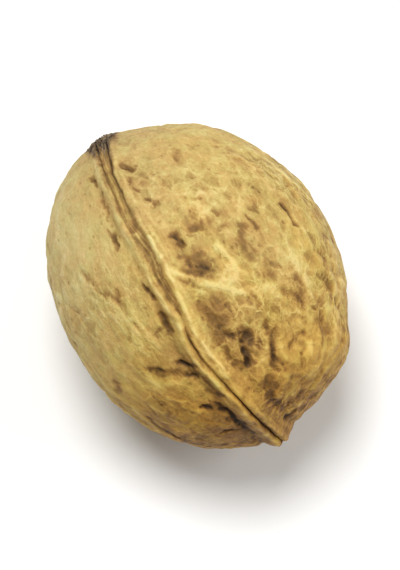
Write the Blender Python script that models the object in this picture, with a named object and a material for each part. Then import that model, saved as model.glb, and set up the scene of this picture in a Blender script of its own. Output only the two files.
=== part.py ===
"""A whole walnut in its shell, lying on its side on a small flat spot.

The nut is one solid. Its own axes run +X from the stem scar to the tip, +Y to the fuller half and
+Z to the upper seam. A sphere is reshaped by a formula into the smooth nut, and the raised seam
rim, the split along it, the furrows, the pits and the net of wrinkles are then raised from that
surface. The finished nut is turned into the way it lies, with the floor at z = 0.
"""

from math import radians, tau
import random

import bmesh
import bpy
from mathutils import Matrix, Vector, noise
import numpy as np

MM = 0.001

# Body, in metres
LENGTH = 42.6 * MM
FULL_HALF = 19.8 * MM
LEAN_HALF = 15.3 * MM
SEAM_HALF = 17.1 * MM
SQUARENESS = 2.1
BEAK_LENGTH = 0.6 * MM
BEAK_RADIUS = 2.4 * MM
STEM_RISE = 0.5 * MM
STEM_SHIFT = 0.9 * MM
STEM_REACH = 0.12
SCAR_RADIUS = 1.5 * MM
SCAR_DEPTH = 0.7 * MM

# Seam rim, in metres
RIM_HEIGHT = 0.60 * MM
RIM_LEAN_WIDTH = 1.5 * MM
RIM_FULL_WIDTH = 1.7 * MM
FLANGE_WIDTH = 1.0 * MM
LIP_HEIGHT = 0.22 * MM
LIP_WIDTH = 0.50 * MM
SPLIT_DEPTH = 0.55 * MM
UNDER_SPLIT = 0.35
SPLIT_WIDTH = 0.26 * MM
STRIP_DEPTH = 0.25 * MM
FURROW_DEPTH = 0.45 * MM
FURROW_WIDTH = 0.55 * MM
FULL_FURROW = 0.5

# The path of the seam: how far in mm it strays from the middle plane, above and under the nut, from
# the stem (0) to the tip (1)
SEAM_ALONG = (0, 0.08, 0.16, 0.22, 0.32, 0.38, 0.46, 0.55, 0.61, 0.64, 0.67, 0.70, 0.74, 0.78, 0.85, 0.91, 1)
SEAM_UPPER = (0.9, 0.75, 0.95, 0.98, 0.70, 0.92, 0.84, 0.85, 0.88, 0.56, 0.22, 0, -0.10, 0.08, 0.36, 0.50, 0.68)
SEAM_UNDER = (0.9, 0.5, 0.1, -0.2, -0.5, -0.5, -0.35, 0, 0.25, 0.4, 0.5, 0.6, 0.65, 0.7, 0.7, 0.68, 0.68)

# Half width in mm of the sunken strip between the two grooves of the upper seam. Where the strip
# ends the grooves meet in one split.
STRIP_ALONG = (0.0, 0.08, 0.16, 0.28, 0.34, 0.38, 0.44, 0.50, 0.56, 0.60)
STRIP_HALF = (1.05, 1.0, 0.56, 0.50, 0.56, 0.68, 0.56, 0.44, 0.30, 0.0)

# Wrinkles, in metres
SWELL_SIZE, SWELL_HEIGHT = 13.0 * MM, 0.35 * MM
LUMP_SIZE, LUMP_HEIGHT = 4.4 * MM, 0.34 * MM
NET_SIZE, NET_HEIGHT = 3.4 * MM, 0.17 * MM
NET_WIDTH = 0.14
VALLEY_DEPTH = 0.16 * MM
VALLEY_WIDTH = 0.10
LEAN_CALM = 0.5

# Pits and sunken stains on the side that shows. Each runs from one place on the nut to another:
# along the nut and degrees around it, twice, then its width in mm and its strength from 0 to 1,
# which sets its depth. Degrees count from the upper seam, + to the fuller half.
MARKS = [
    # fuller cheek, towards the stem
    (0.190, 41, 0.225, 38, 1.0, 0.50), (0.186, 48, 0.197, 48, 0.6, 0.40), (0.341, 31, 0.346, 34, 0.6, 0.60),
    (0.403, 34, 0.422, 35, 0.6, 0.80), (0.289, 46, 0.313, 48, 0.5, 0.50), (0.292, 60, 0.270, 69, 0.2, 0.45),
    (0.430, 66, 0.426, 71, 0.5, 0.60), (0.464, 61, 0.546, 62, 0.4, 0.90), (0.462, 45, 0.510, 46, 0.4, 0.75),
    (0.426, 51, 0.454, 49, 0.8, 0.60), (0.419, 23, 0.429, 30, 1.2, 0.60), (0.461, 32, 0.459, 35, 0.9, 0.60),
    (0.405, 15, 0.447, 17, 0.8, 0.85), (0.481, 40, 0.515, 38, 1.0, 0.70), (0.521, 37, 0.569, 39, 1.9, 0.60),
    (0.485, 18, 0.539, 20, 2.5, 0.55), (0.533, 15, 0.556, 16, 0.8, 0.95), (0.479, 15, 0.504, 16, 1.0, 0.75),
    (0.637, 30, 0.673, 30, 1.2, 0.50), (0.673, 53, 0.719, 54, 1.0, 0.60), (0.594, 80, 0.617, 76, 1.0, 0.40),
    (0.637, 73, 0.687, 70, 1.2, 0.45), (0.632, 52, 0.652, 52, 0.5, 0.50), (0.638, 38, 0.637, 40, 0.6, 0.50),
    (0.408, 43, 0.426, 43, 0.5, 0.40),
    # fuller cheek, towards the tip
    (0.632, 13, 0.684, 15, 2.5, 0.75), (0.713, 12, 0.738, 15, 1.1, 0.90), (0.727, 14, 0.732, 16, 0.6, 0.98),
    (0.750, 23, 0.787, 22, 1.0, 0.80), (0.782, 17, 0.821, 16, 0.8, 0.99), (0.748, 32, 0.777, 31, 0.8, 0.60),
    (0.782, 26, 0.805, 25, 0.6, 0.60), (0.785, 33, 0.820, 30, 0.5, 0.60), (0.820, 30, 0.868, 30, 0.8, 0.70),
    (0.762, 11, 0.809, 10, 1.5, 0.40), (0.882, 20, 0.918, 23, 1.2, 0.75), (0.933, 24, 0.966, 32, 0.9, 0.70),
    (0.962, 40, 0.953, 49, 1.1, 0.60), (0.984, 43, 0.981, 53, 0.8, 0.80), (0.868, 45, 0.898, 45, 0.5, 0.50),
    (0.813, 49, 0.826, 50, 0.5, 0.45), (0.811, 39, 0.846, 41, 0.6, 0.50), (0.811, 62, 0.883, 61, 0.4, 0.60),
    (0.844, 82, 0.880, 80, 0.6, 0.45), (0.930, 63, 0.956, 87, 0.8, 0.45), (0.733, 51, 0.749, 53, 0.8, 0.50),
    # beside the grooves
    (0.139, 14, 0.171, 15, 1.0, 0.98), (0.156, 19, 0.167, 20, 0.5, 0.50), (0.199, 13, 0.239, 14, 0.6, 0.65),
    (0.275, 15, 0.296, 17, 0.6, 0.80), (0.358, 14, 0.377, 14, 0.5, 0.50),
    # leaner side
    (0.012, -12, 0.030, -14, 0.7, 0.85), (0.015, 30, 0.030, 8, 1.2, 0.70),
    (0.129, -6, 0.152, -5, 0.6, 0.80), (0.170, -5, 0.231, -5, 0.5, 0.55), (0.237, -5, 0.269, -6, 0.5, 0.50),
    (0.297, -8, 0.320, -8, 0.5, 0.65), (0.327, -8, 0.357, -8, 0.6, 0.90), (0.346, -28, 0.373, -27, 0.5, 0.50),
    (0.484, -5, 0.531, -4, 0.8, 0.99), (0.592, -4, 0.628, -5, 1.0, 0.99), (0.614, -8, 0.621, -14, 0.6, 0.60),
    (0.394, -25, 0.459, -23, 0.5, 0.55), (0.426, -40, 0.444, -45, 1.0, 0.35), (0.499, -36, 0.521, -38, 0.8, 0.35),
    (0.572, -22, 0.593, -23, 0.6, 0.55), (0.721, -10, 0.751, -6, 0.5, 0.92), (0.750, -13, 0.778, -9, 0.5, 0.80),
    (0.680, -25, 0.726, -12, 1.0, 0.50), (0.696, -26, 0.741, -16, 0.8, 0.45), (0.789, -6, 0.846, -4, 0.8, 0.70),
    (0.850, -18, 0.863, -13, 0.6, 0.80), (0.869, -5, 0.931, -7, 0.6, 0.92), (0.912, -13, 0.925, -12, 0.6, 0.80),
    (0.934, -26, 0.942, -21, 0.6, 0.75), (0.733, -33, 0.791, -34, 0.6, 0.45), (0.449, -17, 0.469, -17, 0.6, 0.50),
]
HIDDEN_MARKS = 84
HIDDEN_SEED = 5
FINEST_MARK = 0.9  # mm: a narrower mark is widened to this, so that the mesh can carry it

# The looped ridges near the tip, like a knot in wood
LOOP_ALONG, LOOP_DEGREES = 0.848, 44
LOOP_RADIUS = 4.2 * MM
LOOP_PITCH = 1.55 * MM
LOOP_HEIGHT = 0.11 * MM

# Raised veins, in rows like those of the marks
VEINS = [
    (0.384, 7, 0.457, 6, 0.5, 0.90), (0.574, 6, 0.639, 4, 0.6, 0.85), (0.471, 7, 0.566, 15, 0.4, 0.70),
    (0.566, 15, 0.615, 22, 0.5, 0.60), (0.495, 6, 0.557, 12, 0.4, 0.60), (0.508, 29, 0.593, 31, 0.8, 0.80),
    (0.593, 31, 0.602, 23, 0.8, 0.80), (0.602, 23, 0.572, 13, 0.6, 0.70), (0.292, 33, 0.358, 35, 0.6, 0.40),
    (0.359, 30, 0.391, 32, 1.2, 0.45), (0.378, 37, 0.411, 38, 0.5, 0.70), (0.438, 57, 0.504, 58, 0.5, 0.45),
    (0.493, 60, 0.569, 61, 0.5, 0.45), (0.786, 5, 0.811, 4, 0.8, 0.80), (0.716, 3, 0.740, 3, 0.8, 0.60),
    (0.922, 46, 0.910, 58, 0.5, 0.55), (0.657, 23, 0.686, 24, 0.6, 0.60), (0.568, 28, 0.616, 34, 1.0, 0.50),
    (0.229, 35, 0.267, 35, 0.5, 0.40), (0.591, 58, 0.621, 61, 1.0, 0.40), (0.830, 23, 0.865, 23, 0.6, 0.40),
    (0.420, -29, 0.535, -23, 0.5, 0.60), (0.535, -23, 0.632, -20, 0.5, 0.55),
]

# How it lies
STEM_UP = radians(4.0)
SEAM_LEAN = radians(15.5)
REST_CUT = 0.45 * MM

# Mesh
SEGMENTS, RINGS = 256, 168
SEAM_CROWDING = 0.72
TRIANGLES = 10400

SHELL_COLOUR = (0.52, 0.34, 0.13, 1.0)
SHELL_ROUGHNESS = 0.62


def smooth_step(low, high, value):
    """0 below low, 1 above high, and an easy curve between."""
    share = np.clip((value - low) / (high - low), 0, 1)
    return share * share * (3 - 2 * share)


def bell(value, width):
    return np.exp(-((value / width) ** 2))


def noise_field(points, size, shift=0.0):
    """Smooth noise from about -1 to 1 at each point, with lumps about size across."""
    return np.array([noise.noise(Vector(p)) for p in points / size + shift])


def bare_form(along, around):
    """The smooth nut without relief. It is fuller on one side and has a blunt stem end."""
    side = np.sin(around)
    cheek = np.where(side > 0, FULL_HALF, LEAN_HALF)
    reach = (np.abs(np.cos(around)) / SEAM_HALF) ** SQUARENESS
    reach = reach + (np.abs(side) / cheek) ** SQUARENESS
    section = reach ** (-1 / SQUARENESS)
    full_end = 1 - 0.34 * bell(along, 0.075) + 0.16 * bell(along - 0.92, 0.07)
    full_end = full_end + 0.10 * bell(1 - along, 0.045)
    lean_end = 1 + 0.10 * bell(along, 0.06) - 0.30 * bell(1 - along, 0.04)
    ends = full_end * (1 + side) / 2 + lean_end * (1 - side) / 2
    radius = section * ends * np.sqrt(np.clip(1 - (2 * along - 1) ** 2, 0, 1))
    x = LENGTH * (along - 0.5)
    x = x + BEAK_LENGTH * bell(radius, BEAK_RADIUS) * smooth_step(0.8, 1.0, along)
    near_stem = bell(along, STEM_REACH)
    x = x - STEM_RISE * near_stem
    return np.stack([x, radius * side + STEM_SHIFT * near_stem, radius * np.cos(around)], axis=1)


def outward(points):
    """Unit normals of the smooth nut."""
    cheek = np.where(points[:, 1] > 0, FULL_HALF, LEAN_HALF)
    halves = np.stack([np.full(len(points), LENGTH / 2), cheek, np.full(len(points), SEAM_HALF)], axis=1)
    normals = points / halves**2
    return normals / np.linalg.norm(normals, axis=1, keepdims=True)


def place(along, degrees_around):
    """One point of the smooth nut."""
    return bare_form(np.array([along]), np.array([radians(degrees_around)]))[0]


def seam_line(along, upper):
    """How far the seam strays from the middle plane, above and under the nut."""
    above = np.interp(along, SEAM_ALONG, SEAM_UPPER)
    below = np.interp(along, SEAM_ALONG, SEAM_UNDER)
    return MM * (below + (above - below) * upper)


def seam_relief(points, along):
    """The raised rim along the seam with a lip each side of the split, and the furrows beside it."""
    upper = smooth_step(-2 * MM, 2 * MM, points[:, 2])
    across = points[:, 1] - seam_line(along, upper)
    beside = np.abs(across)
    flange = FLANGE_WIDTH * bell(along - 0.42, 0.16) * upper
    width = np.where(across > 0, RIM_FULL_WIDTH + flange, RIM_LEAN_WIDTH)
    rim = RIM_HEIGHT * (1 - smooth_step(0.2 * width, 1.6 * width, beside))
    rim = rim * (0.6 + 0.4 * smooth_step(0.0, 0.2, along))
    patchy = 0.65 + 0.6 * noise_field(points, 4 * MM, 31.0)
    patchy = patchy * np.where(across > 0, FULL_FURROW, 1.0) * smooth_step(0.08, 0.2, along)
    furrow = FURROW_DEPTH * np.clip(patchy, 0, 1.2) * bell(beside - 1.4 * width, FURROW_WIDTH)
    strip = np.interp(along, STRIP_ALONG, STRIP_HALF) * MM * upper
    depth = SPLIT_DEPTH * (UNDER_SPLIT + (1 - UNDER_SPLIT) * upper)
    split = depth * bell(beside - strip, SPLIT_WIDTH)
    sunken = STRIP_DEPTH * (1 - smooth_step(strip - 0.1 * MM, strip + 0.1 * MM, beside)) * (strip > 0)
    lip = LIP_HEIGHT * bell(beside - strip - 0.6 * MM, LIP_WIDTH)
    open_seam = smooth_step(0.0, 0.03, along)
    return rim - furrow + lip - open_seam * np.maximum(split, sunken)


def bent_places(points):
    """The points stretched along the nut and pushed about a little, so that noise reads as grain."""
    bend = np.stack([noise_field(points, 8 * MM, shift) for shift in (3.0, 13.0, 23.0)], axis=1)
    return points * np.array([0.62, 1.0, 1.0]) + 2.2 * MM * bend


def wrinkle_relief(points):
    """Broad swells, rounded lumps with valleys between them, and a raised net of thin ridges."""
    bent = bent_places(points)
    lumps = noise_field(bent, LUMP_SIZE, 7.0)
    net = bell(noise_field(bent, NET_SIZE, 17.0), NET_WIDTH)
    swell = SWELL_HEIGHT * noise_field(points, SWELL_SIZE, 47.0)
    cheek = smooth_step(2.2 * MM, 4.6 * MM, np.abs(points[:, 1]))
    calm = np.where(points[:, 1] > 0, 1.0, LEAN_CALM)
    calm = calm * (0.75 + 0.6 * noise_field(points, 10 * MM, 61.0))
    raised = LUMP_HEIGHT * (np.abs(lumps) - 0.2) + NET_HEIGHT * (net - 0.3)
    valleys = VALLEY_DEPTH * bell(lumps, VALLEY_WIDTH)
    return swell + cheek * calm * (raised - valleys)


def all_marks():
    """The marks that show, and a seeded scatter of like ones over the rest of the nut."""
    draw = random.Random(HIDDEN_SEED)
    scattered = []
    for _ in range(HIDDEN_MARKS):
        along, degrees = draw.uniform(0.08, 0.92), draw.uniform(84, 312)
        length, lean = draw.uniform(0.01, 0.06), draw.uniform(-4, 4)
        width, dark = draw.uniform(0.4, 1.0) ** 2 * 2.2, draw.uniform(0.4, 1.0)
        scattered.append((along, degrees, along + length, degrees + lean, width, dark))
    return MARKS + scattered


def warped(points, sway, size, shift):
    """The points pushed about by noise, so that shapes drawn through them get ragged edges."""
    push = [noise_field(points, size, shift + step) for step in (0.0, 10.0, 20.0)]
    return points + sway * np.stack(push, axis=1)


def stroke_reach(points, row, width):
    """Distance to a stroke, measured in half widths: below 1 is inside it."""
    start, end = place(row[0], row[1]), place(row[2], row[3])
    run = end - start
    share = np.clip((points - start) @ run / max(run @ run, 1e-12), 0, 1)
    away = np.linalg.norm(points - start - np.outer(share, run), axis=1)
    return away / (0.5 * width * MM)


def mark_relief(points):
    """Each mark is a short sunken stroke with a ragged edge: the stronger, the deeper."""
    depth = np.zeros(len(points))
    ragged = warped(points, 0.55 * MM, 1.4 * MM, 91.0)
    for row in all_marks():
        width, strength = row[4:]
        deep = min(0.12 + 0.55 * strength**4, 0.7 * width) * (1.0 if width < 1.3 else 0.6)
        reach = stroke_reach(ragged, row, max(width, FINEST_MARK))
        depth = np.maximum(depth, deep * MM * bell(reach, 1.0))
    return -depth


def loop_relief(points):
    """Rings one round the other, which fade out at the edge of the knot."""
    pushed = warped(points, 1.3 * MM, 3.0 * MM, 97.0)
    away = np.linalg.norm((pushed - place(LOOP_ALONG, LOOP_DEGREES)) * np.array([0.85, 1, 1]), axis=1)
    fade = 1 - smooth_step(0.75 * LOOP_RADIUS, 1.15 * LOOP_RADIUS, away)
    return LOOP_HEIGHT * np.cos(tau * away / LOOP_PITCH) * fade


def vein_relief(points):
    """Thin ridges that run from one place on the shell to another."""
    height = np.zeros(len(points))
    ragged = warped(points, 0.35 * MM, 1.2 * MM, 57.0)
    for row in VEINS:
        width, strength = row[4:]
        reach = stroke_reach(ragged, row, max(width, FINEST_MARK))
        height = np.maximum(height, 0.30 * width * strength * MM * bell(reach, 1.0))
    return height


def scar_relief(points, along):
    """The small rough hollow where the stem broke off."""
    from_axis = np.hypot(points[:, 1] - STEM_SHIFT, points[:, 2])
    rough = 1 + 0.5 * noise_field(points, 0.9 * MM, 71.0)
    return -SCAR_DEPTH * rough * bell(from_axis, SCAR_RADIUS) * (1 - smooth_step(0.02, 0.1, along))


def nut_surface(along, around):
    """Points of the finished nut, in its own axes."""
    bare = bare_form(along, around)
    relief = seam_relief(bare, along) + wrinkle_relief(bare) + mark_relief(bare)
    relief = relief + loop_relief(bare) + vein_relief(bare) + scar_relief(bare, along)
    return bare + outward(bare) * relief[:, None]


def lying_turn():
    """The turn from the nut's own axes to the way it lies: seam leaning, stem end a little up."""
    return Matrix.Rotation(STEM_UP, 3, "Y") @ Matrix.Rotation(SEAM_LEAN, 3, "X")


def make_nut():
    """A sphere with its poles at the stem and the tip, reshaped into the nut as it lies."""
    shape = bmesh.new()
    bmesh.ops.create_uvsphere(shape, u_segments=SEGMENTS, v_segments=RINGS, radius=1.0)
    ball = np.array([v.co for v in shape.verts])
    along = (1 - ball[:, 2]) / 2
    angle = np.arctan2(ball[:, 1], ball[:, 0])
    around = angle - SEAM_CROWDING * np.sin(2 * angle) / 2
    lying = nut_surface(along, around) @ np.array(lying_turn()).T
    low, high = lying.min(axis=0), lying.max(axis=0)
    lying = lying - np.array([(low[0] + high[0]) / 2, (low[1] + high[1]) / 2, low[2] + REST_CUT])
    for vertex, point in zip(shape.verts, lying):
        vertex.co = point
    bmesh.ops.recalc_face_normals(shape, faces=shape.faces)
    mesh = bpy.data.meshes.new("walnut")
    shape.to_mesh(mesh)
    shape.free()
    mesh.shade_smooth()
    return bpy.data.objects.new("walnut", mesh)


def make_floor_cutter():
    """A block under the floor line, which takes off the little that makes the flat spot."""
    bpy.ops.mesh.primitive_cube_add(size=LENGTH, location=(0, 0, -LENGTH / 2))
    cutter = bpy.context.object
    cutter.name = "floor_cutter"
    cutter.hide_render = True
    cutter.display_type = "WIRE"
    return cutter


def shell_material():
    material = bpy.data.materials.new("walnut_shell")
    material.use_nodes = True
    shader = material.node_tree.nodes["Principled BSDF"]
    shader.inputs["Base Color"].default_value = SHELL_COLOUR
    shader.inputs["Roughness"].default_value = SHELL_ROUGHNESS
    shader.inputs["Metallic"].default_value = 0.0
    return material


def main():
    for leftover in list(bpy.data.objects):
        bpy.data.objects.remove(leftover)
    parts = bpy.data.collections.new("walnut")
    cutters = bpy.data.collections.new("cutters")
    for collection in (parts, cutters):
        bpy.context.scene.collection.children.link(collection)
    nut = make_nut()
    parts.objects.link(nut)
    nut.data.materials.append(shell_material())
    cutter = make_floor_cutter()
    for holder in list(cutter.users_collection):
        holder.objects.unlink(cutter)
    cutters.objects.link(cutter)
    fewer = nut.modifiers.new("fewer_faces", "DECIMATE")
    fewer.ratio = TRIANGLES / (2 * SEGMENTS * (RINGS - 1))
    flat_spot = nut.modifiers.new("flat_spot", "BOOLEAN")
    flat_spot.operation = "DIFFERENCE"
    flat_spot.object = cutter


main()
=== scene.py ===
# %% [markdown]
# # A walnut in its shell
#
# This script dresses a plain walnut solid, so that it looks like the real nut from a hand's width
# away. A walnut's shell is two wooden halves grown together along a seam. The seam stands up as a
# rim, and the halves carry low lumps, furrows, pits and a raised net of veins. The pits hold the
# brown of the dried husk, and the ridges are rubbed pale.
#
# The solid comes first, because every piece has to sit exactly where it is.

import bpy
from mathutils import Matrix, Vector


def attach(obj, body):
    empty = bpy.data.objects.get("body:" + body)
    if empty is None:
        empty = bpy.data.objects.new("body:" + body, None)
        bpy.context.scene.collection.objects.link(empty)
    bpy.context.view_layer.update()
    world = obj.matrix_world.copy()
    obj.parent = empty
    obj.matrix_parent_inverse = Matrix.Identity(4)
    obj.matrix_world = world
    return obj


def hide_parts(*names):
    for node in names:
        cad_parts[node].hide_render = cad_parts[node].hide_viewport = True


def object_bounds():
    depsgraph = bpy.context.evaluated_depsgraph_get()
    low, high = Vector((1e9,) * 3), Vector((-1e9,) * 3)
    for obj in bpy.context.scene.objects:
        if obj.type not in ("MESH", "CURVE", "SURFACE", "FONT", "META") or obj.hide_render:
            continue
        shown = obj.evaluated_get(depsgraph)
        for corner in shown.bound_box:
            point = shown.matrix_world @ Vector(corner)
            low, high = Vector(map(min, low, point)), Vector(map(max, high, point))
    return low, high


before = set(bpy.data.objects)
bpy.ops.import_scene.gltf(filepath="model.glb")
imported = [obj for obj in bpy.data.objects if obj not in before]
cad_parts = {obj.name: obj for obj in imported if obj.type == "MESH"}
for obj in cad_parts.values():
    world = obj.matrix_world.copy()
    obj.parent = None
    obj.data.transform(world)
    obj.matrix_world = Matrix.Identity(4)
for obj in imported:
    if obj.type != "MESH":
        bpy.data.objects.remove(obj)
cad_low, cad_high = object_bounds()
print("solid nut:", [round(1000 * side, 1) for side in cad_high - cad_low], "mm")

# %% Tools and units
from math import cos, radians, sin, tau
import random

import bmesh
import bpy
from mathutils import Matrix, Vector, noise
import numpy as np

MM = 0.001

# %% [markdown]
# ## How to raise a shell by formula
#
# A shell like this could be sculpted by hand or copied from a scan. Here it is grown by formula: a
# sphere is reshaped into the smooth nut, and each feature adds a height above that smooth nut.
# Every feature is then one short function with its size in millimetres. The same function also
# gives a mask: a number for each point that says how much of the feature is there, and so where
# its colour goes. A few helpers do most of the work: an easy step, a bell, and noise.

# %% Helpers
def smooth_step(low, high, value):
    """0 below low, 1 above high, and an easy curve between. Where low is the larger it falls."""
    share = np.clip((value - low) / (high - low), 0, 1)
    return share * share * (3 - 2 * share)


def bell(value, width):
    """1 where value is 0, and less the further it is from 0, on either side."""
    return np.exp(-((value / width) ** 2))


def noise_field(points, size, shift=0.0):
    """Smooth noise from about -1 to 1, with lumps about size across. Each shift gives others."""
    return np.array([noise.noise(Vector(p)) for p in points / size + shift])


def patchy(points, level, swing, size, shift):
    """level plus or minus swing, in patches about size mm across."""
    return level + swing * noise_field(points, size * MM, shift)


def noise_push(points, size, shift):
    """Three noises for each point, to push it about in three directions."""
    return np.stack([noise_field(points, size, shift + step) for step in (0, 10, 20)], axis=1)


def ragged(points, *rags):
    """The points pushed about by noise, so that shapes drawn through them get ragged edges.

    Each rag is how far it pushes and how large its lumps are, both in mm, and its shift."""
    for sway, size, shift in rags:
        points = points + sway * MM * noise_push(points, size * MM, shift)
    return points


print("easy step from 0 to 1:", [round(smooth_step(0, 1, share), 2) for share in (0.1, 0.5, 0.9)])

# %% [markdown]
# ## The smooth nut
#
# Seen from the stem, this nut is fuller on one side of its seam than on the other. Each half is
# close to half an ellipsoid, a little squared, so one formula with two widths makes both. The stem
# end is blunt, and the other end runs out to a small point.

# %% Smooth form
LENGTH = 42.6 * MM
FULL_HALF, LEAN_HALF, SEAM_HALF = 19.8 * MM, 15.3 * MM, 17.1 * MM
SQUARENESS = 2.1
# How much a side swells (+) or draws in (-), where along the nut, and over what reach.
FULL_SWELLS = ((-0.34, 0.0, 0.075), (0.16, 0.92, 0.07), (0.10, 1.0, 0.045))
LEAN_SWELLS = ((0.10, 0.0, 0.06), (-0.30, 1.0, 0.04))
BEAK_START, BEAK_LENGTH, BEAK_RADIUS = 0.8, 0.6 * MM, 2.4 * MM
STEM_RISE, STEM_SHIFT, STEM_REACH = 0.5 * MM, 0.9 * MM, 0.12


def swollen(along, swells):
    """How many times as wide as an even egg one side is."""
    return 1 + sum(size * bell(along - middle, reach) for size, middle, reach in swells)


def bare_form(along, around):
    """The smooth nut without relief. It is fuller on one side and has a blunt stem end."""
    side = np.sin(around)
    cheek = np.where(side > 0, FULL_HALF, LEAN_HALF)
    reach = (np.abs(np.cos(around)) / SEAM_HALF) ** SQUARENESS
    reach = reach + (np.abs(side) / cheek) ** SQUARENESS
    section = reach ** (-1 / SQUARENESS)
    full_end, lean_end = swollen(along, FULL_SWELLS), swollen(along, LEAN_SWELLS)
    ends = full_end * (1 + side) / 2 + lean_end * (1 - side) / 2
    radius = section * ends * np.sqrt(np.clip(1 - (2 * along - 1) ** 2, 0, 1))
    near_stem = bell(along, STEM_REACH)
    x = LENGTH * (along - 0.5) - STEM_RISE * near_stem
    x = x + BEAK_LENGTH * bell(radius, BEAK_RADIUS) * smooth_step(BEAK_START, 1.0, along)
    return np.stack([x, radius * side + STEM_SHIFT * near_stem, radius * np.cos(around)], axis=1)


def outward(points):
    """Unit normals of the smooth nut."""
    cheek = np.where(points[:, 1] > 0, FULL_HALF, LEAN_HALF)
    halves = [np.full(len(points), LENGTH / 2), cheek, np.full(len(points), SEAM_HALF)]
    normals = points / np.stack(halves, axis=1) ** 2
    return normals / np.linalg.norm(normals, axis=1, keepdims=True)


def place(along, degrees_around):
    """One point of the smooth nut."""
    return bare_form(np.array([along]), np.array([radians(degrees_around)]))[0]


cheek_reach = [round(abs(place(0.5, degrees)[1]) / MM, 1) for degrees in (90, -90)]
print("smooth nut: the cheeks reach", cheek_reach, "mm from the middle plane")

# %% [markdown]
# ## The seam
#
# The rim is where the two halves meet. On the upper side it opens from the stem as a sunken strip
# of fibres between two grooves, and the grooves close into one dark split past the middle. A pale
# lip runs along each side, a smooth flange widens the rim towards the fuller half, and a furrow
# separates the rim from the cheek. The seam could be one straight line, but on a real nut it never
# is, so its path, its width and its darkness are short tables of places.

# %% Seam path
# Each row starts with the distance along the nut, from 0 at the stem to 1 at the tip.
# Where the seam lies above and under the nut, in mm from the middle plane.
UPPER_SEAM = (
    (0, 1.3), (0.06, 1.42), (0.12, 1.39), (0.16, 1.14), (0.23, 1.13), (0.32, 0.82), (0.38, 1.08),
    (0.41, 1.1), (0.46, 1.0), (0.5, 0.64), (0.57, 0.62), (0.62, 0.44), (0.68, -0.2), (0.74, -0.32),
    (0.8, 0.06), (0.86, 0.49), (0.92, 0.74), (1, 0.8),
)
UNDER_SEAM = (
    (0, 0.9), (0.08, 0.5), (0.16, 0.1), (0.22, -0.2), (0.32, -0.5), (0.38, -0.5), (0.46, -0.35),
    (0.55, 0), (0.61, 0.25), (0.64, 0.4), (0.67, 0.5), (0.7, 0.6), (0.74, 0.65), (0.78, 0.7),
    (1, 0.68),
)
# Half the width in mm of the fibrous strip between the two grooves.
STRIP_HALF = (
    (0.0, 0.8), (0.06, 0.66), (0.12, 0.55), (0.16, 0.44), (0.23, 0.5), (0.32, 0.56), (0.38, 0.62),
    (0.46, 0.6), (0.5, 0.46), (0.57, 0.38), (0.6, 0.15), (0.625, 0.0),
)
# How dark the two grooves, and further on the one split, are on the fuller and the leaner side.
DARKNESS = (
    (0.05, 0.85, 0.72), (0.2, 0.75, 0.68), (0.3, 0.6, 0.5), (0.4, 0.45, 0.22), (0.5, 0.52, 0.2),
    (0.58, 0.6, 0.3), (0.64, 0.55, 0.55), (0.7, 0.85, 0.85), (0.77, 0.6, 0.6), (0.84, 0.85, 0.85),
    (0.92, 0.9, 0.9),
)
# Between these heights the table for above the nut gives way to the one for under it.
SEAM_TURN = 2 * MM


def look_up(along, rows, column=1):
    """Reads a table at each place along the nut, evenly between its rows."""
    columns = list(zip(*rows))
    return np.interp(along, columns[0], columns[column])


def seam_line(along, upper):
    """How far the seam strays from the middle plane, above and under the nut."""
    above, below = look_up(along, UPPER_SEAM), look_up(along, UNDER_SEAM)
    return MM * (below + (above - below) * upper)


stray = [row[1] for row in UPPER_SEAM + UNDER_SEAM]
print("seam: from", min(stray), "to", max(stray), "mm beside the middle plane")

# %% Rim and furrow
RIM_HEIGHT, RIM_LEAN_WIDTH, RIM_FULL_WIDTH = 0.60 * MM, 1.5 * MM, 1.7 * MM
# The rim's top and foot in widths, how high it is at the very stem, and where it is full.
RIM_TOP, RIM_FOOT, RIM_LOW_END, RIM_FULL = 0.2, 1.6, 0.6, 0.2
FLANGE_WIDTH, FLANGE_MIDDLE, FLANGE_REACH = 1.0 * MM, 0.42, 0.16
FURROW_DEPTH, FURROW_WIDTH, FURROW_PLACE, FULL_FURROW = 0.45 * MM, 0.50 * MM, 1.4, 0.5
FURROW_START, FURROW_PATCHES, FURROW_LIMIT = (0.08, 0.2), (0.65, 0.6, 4.0, 31.0), 1.2
# The furrow of the leaner side fades here: where along the nut, over what reach, and how much.
FADE_MIDDLE, FADE_REACH, FADE_SHARE = 0.42, 0.12, 0.6
# How the seam line frays: a broad and a fine sway, both for patchy().
BROAD_FRAY, FINE_FRAY = (0, 0.10 * MM, 1.3, 5.0), (0, 0.06 * MM, 0.6, 9.0)


def seam_measures(points, along):
    """How far each point is from the seam, and how wide the rim and half the strip are there."""
    upper = smooth_step(-SEAM_TURN, SEAM_TURN, points[:, 2])
    fray = patchy(points, *BROAD_FRAY) + patchy(points, *FINE_FRAY)
    across = points[:, 1] - seam_line(along, upper) + fray
    flange = FLANGE_WIDTH * bell(along - FLANGE_MIDDLE, FLANGE_REACH) * upper
    width = np.where(across > 0, RIM_FULL_WIDTH + flange, RIM_LEAN_WIDTH)
    return upper, across, width, look_up(along, STRIP_HALF) * MM * upper


def rim_relief(points, along, across, width):
    """Heights of the rim and of the furrow on each side of it, and a mask of each."""
    beside = np.abs(across)
    rim = 1 - smooth_step(RIM_TOP * width, RIM_FOOT * width, beside)
    rim = rim * (RIM_LOW_END + (1 - RIM_LOW_END) * smooth_step(0.0, RIM_FULL, along))
    lean_share = 1 - FADE_SHARE * bell(along - FADE_MIDDLE, FADE_REACH)
    share = patchy(points, *FURROW_PATCHES) * smooth_step(*FURROW_START, along)
    share = np.clip(share * np.where(across > 0, FULL_FURROW, lean_share), 0, FURROW_LIMIT)
    furrow = share * bell(beside - FURROW_PLACE * width, FURROW_WIDTH)
    return RIM_HEIGHT * rim - FURROW_DEPTH * furrow, {"rim": rim, "furrow": furrow}


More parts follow.
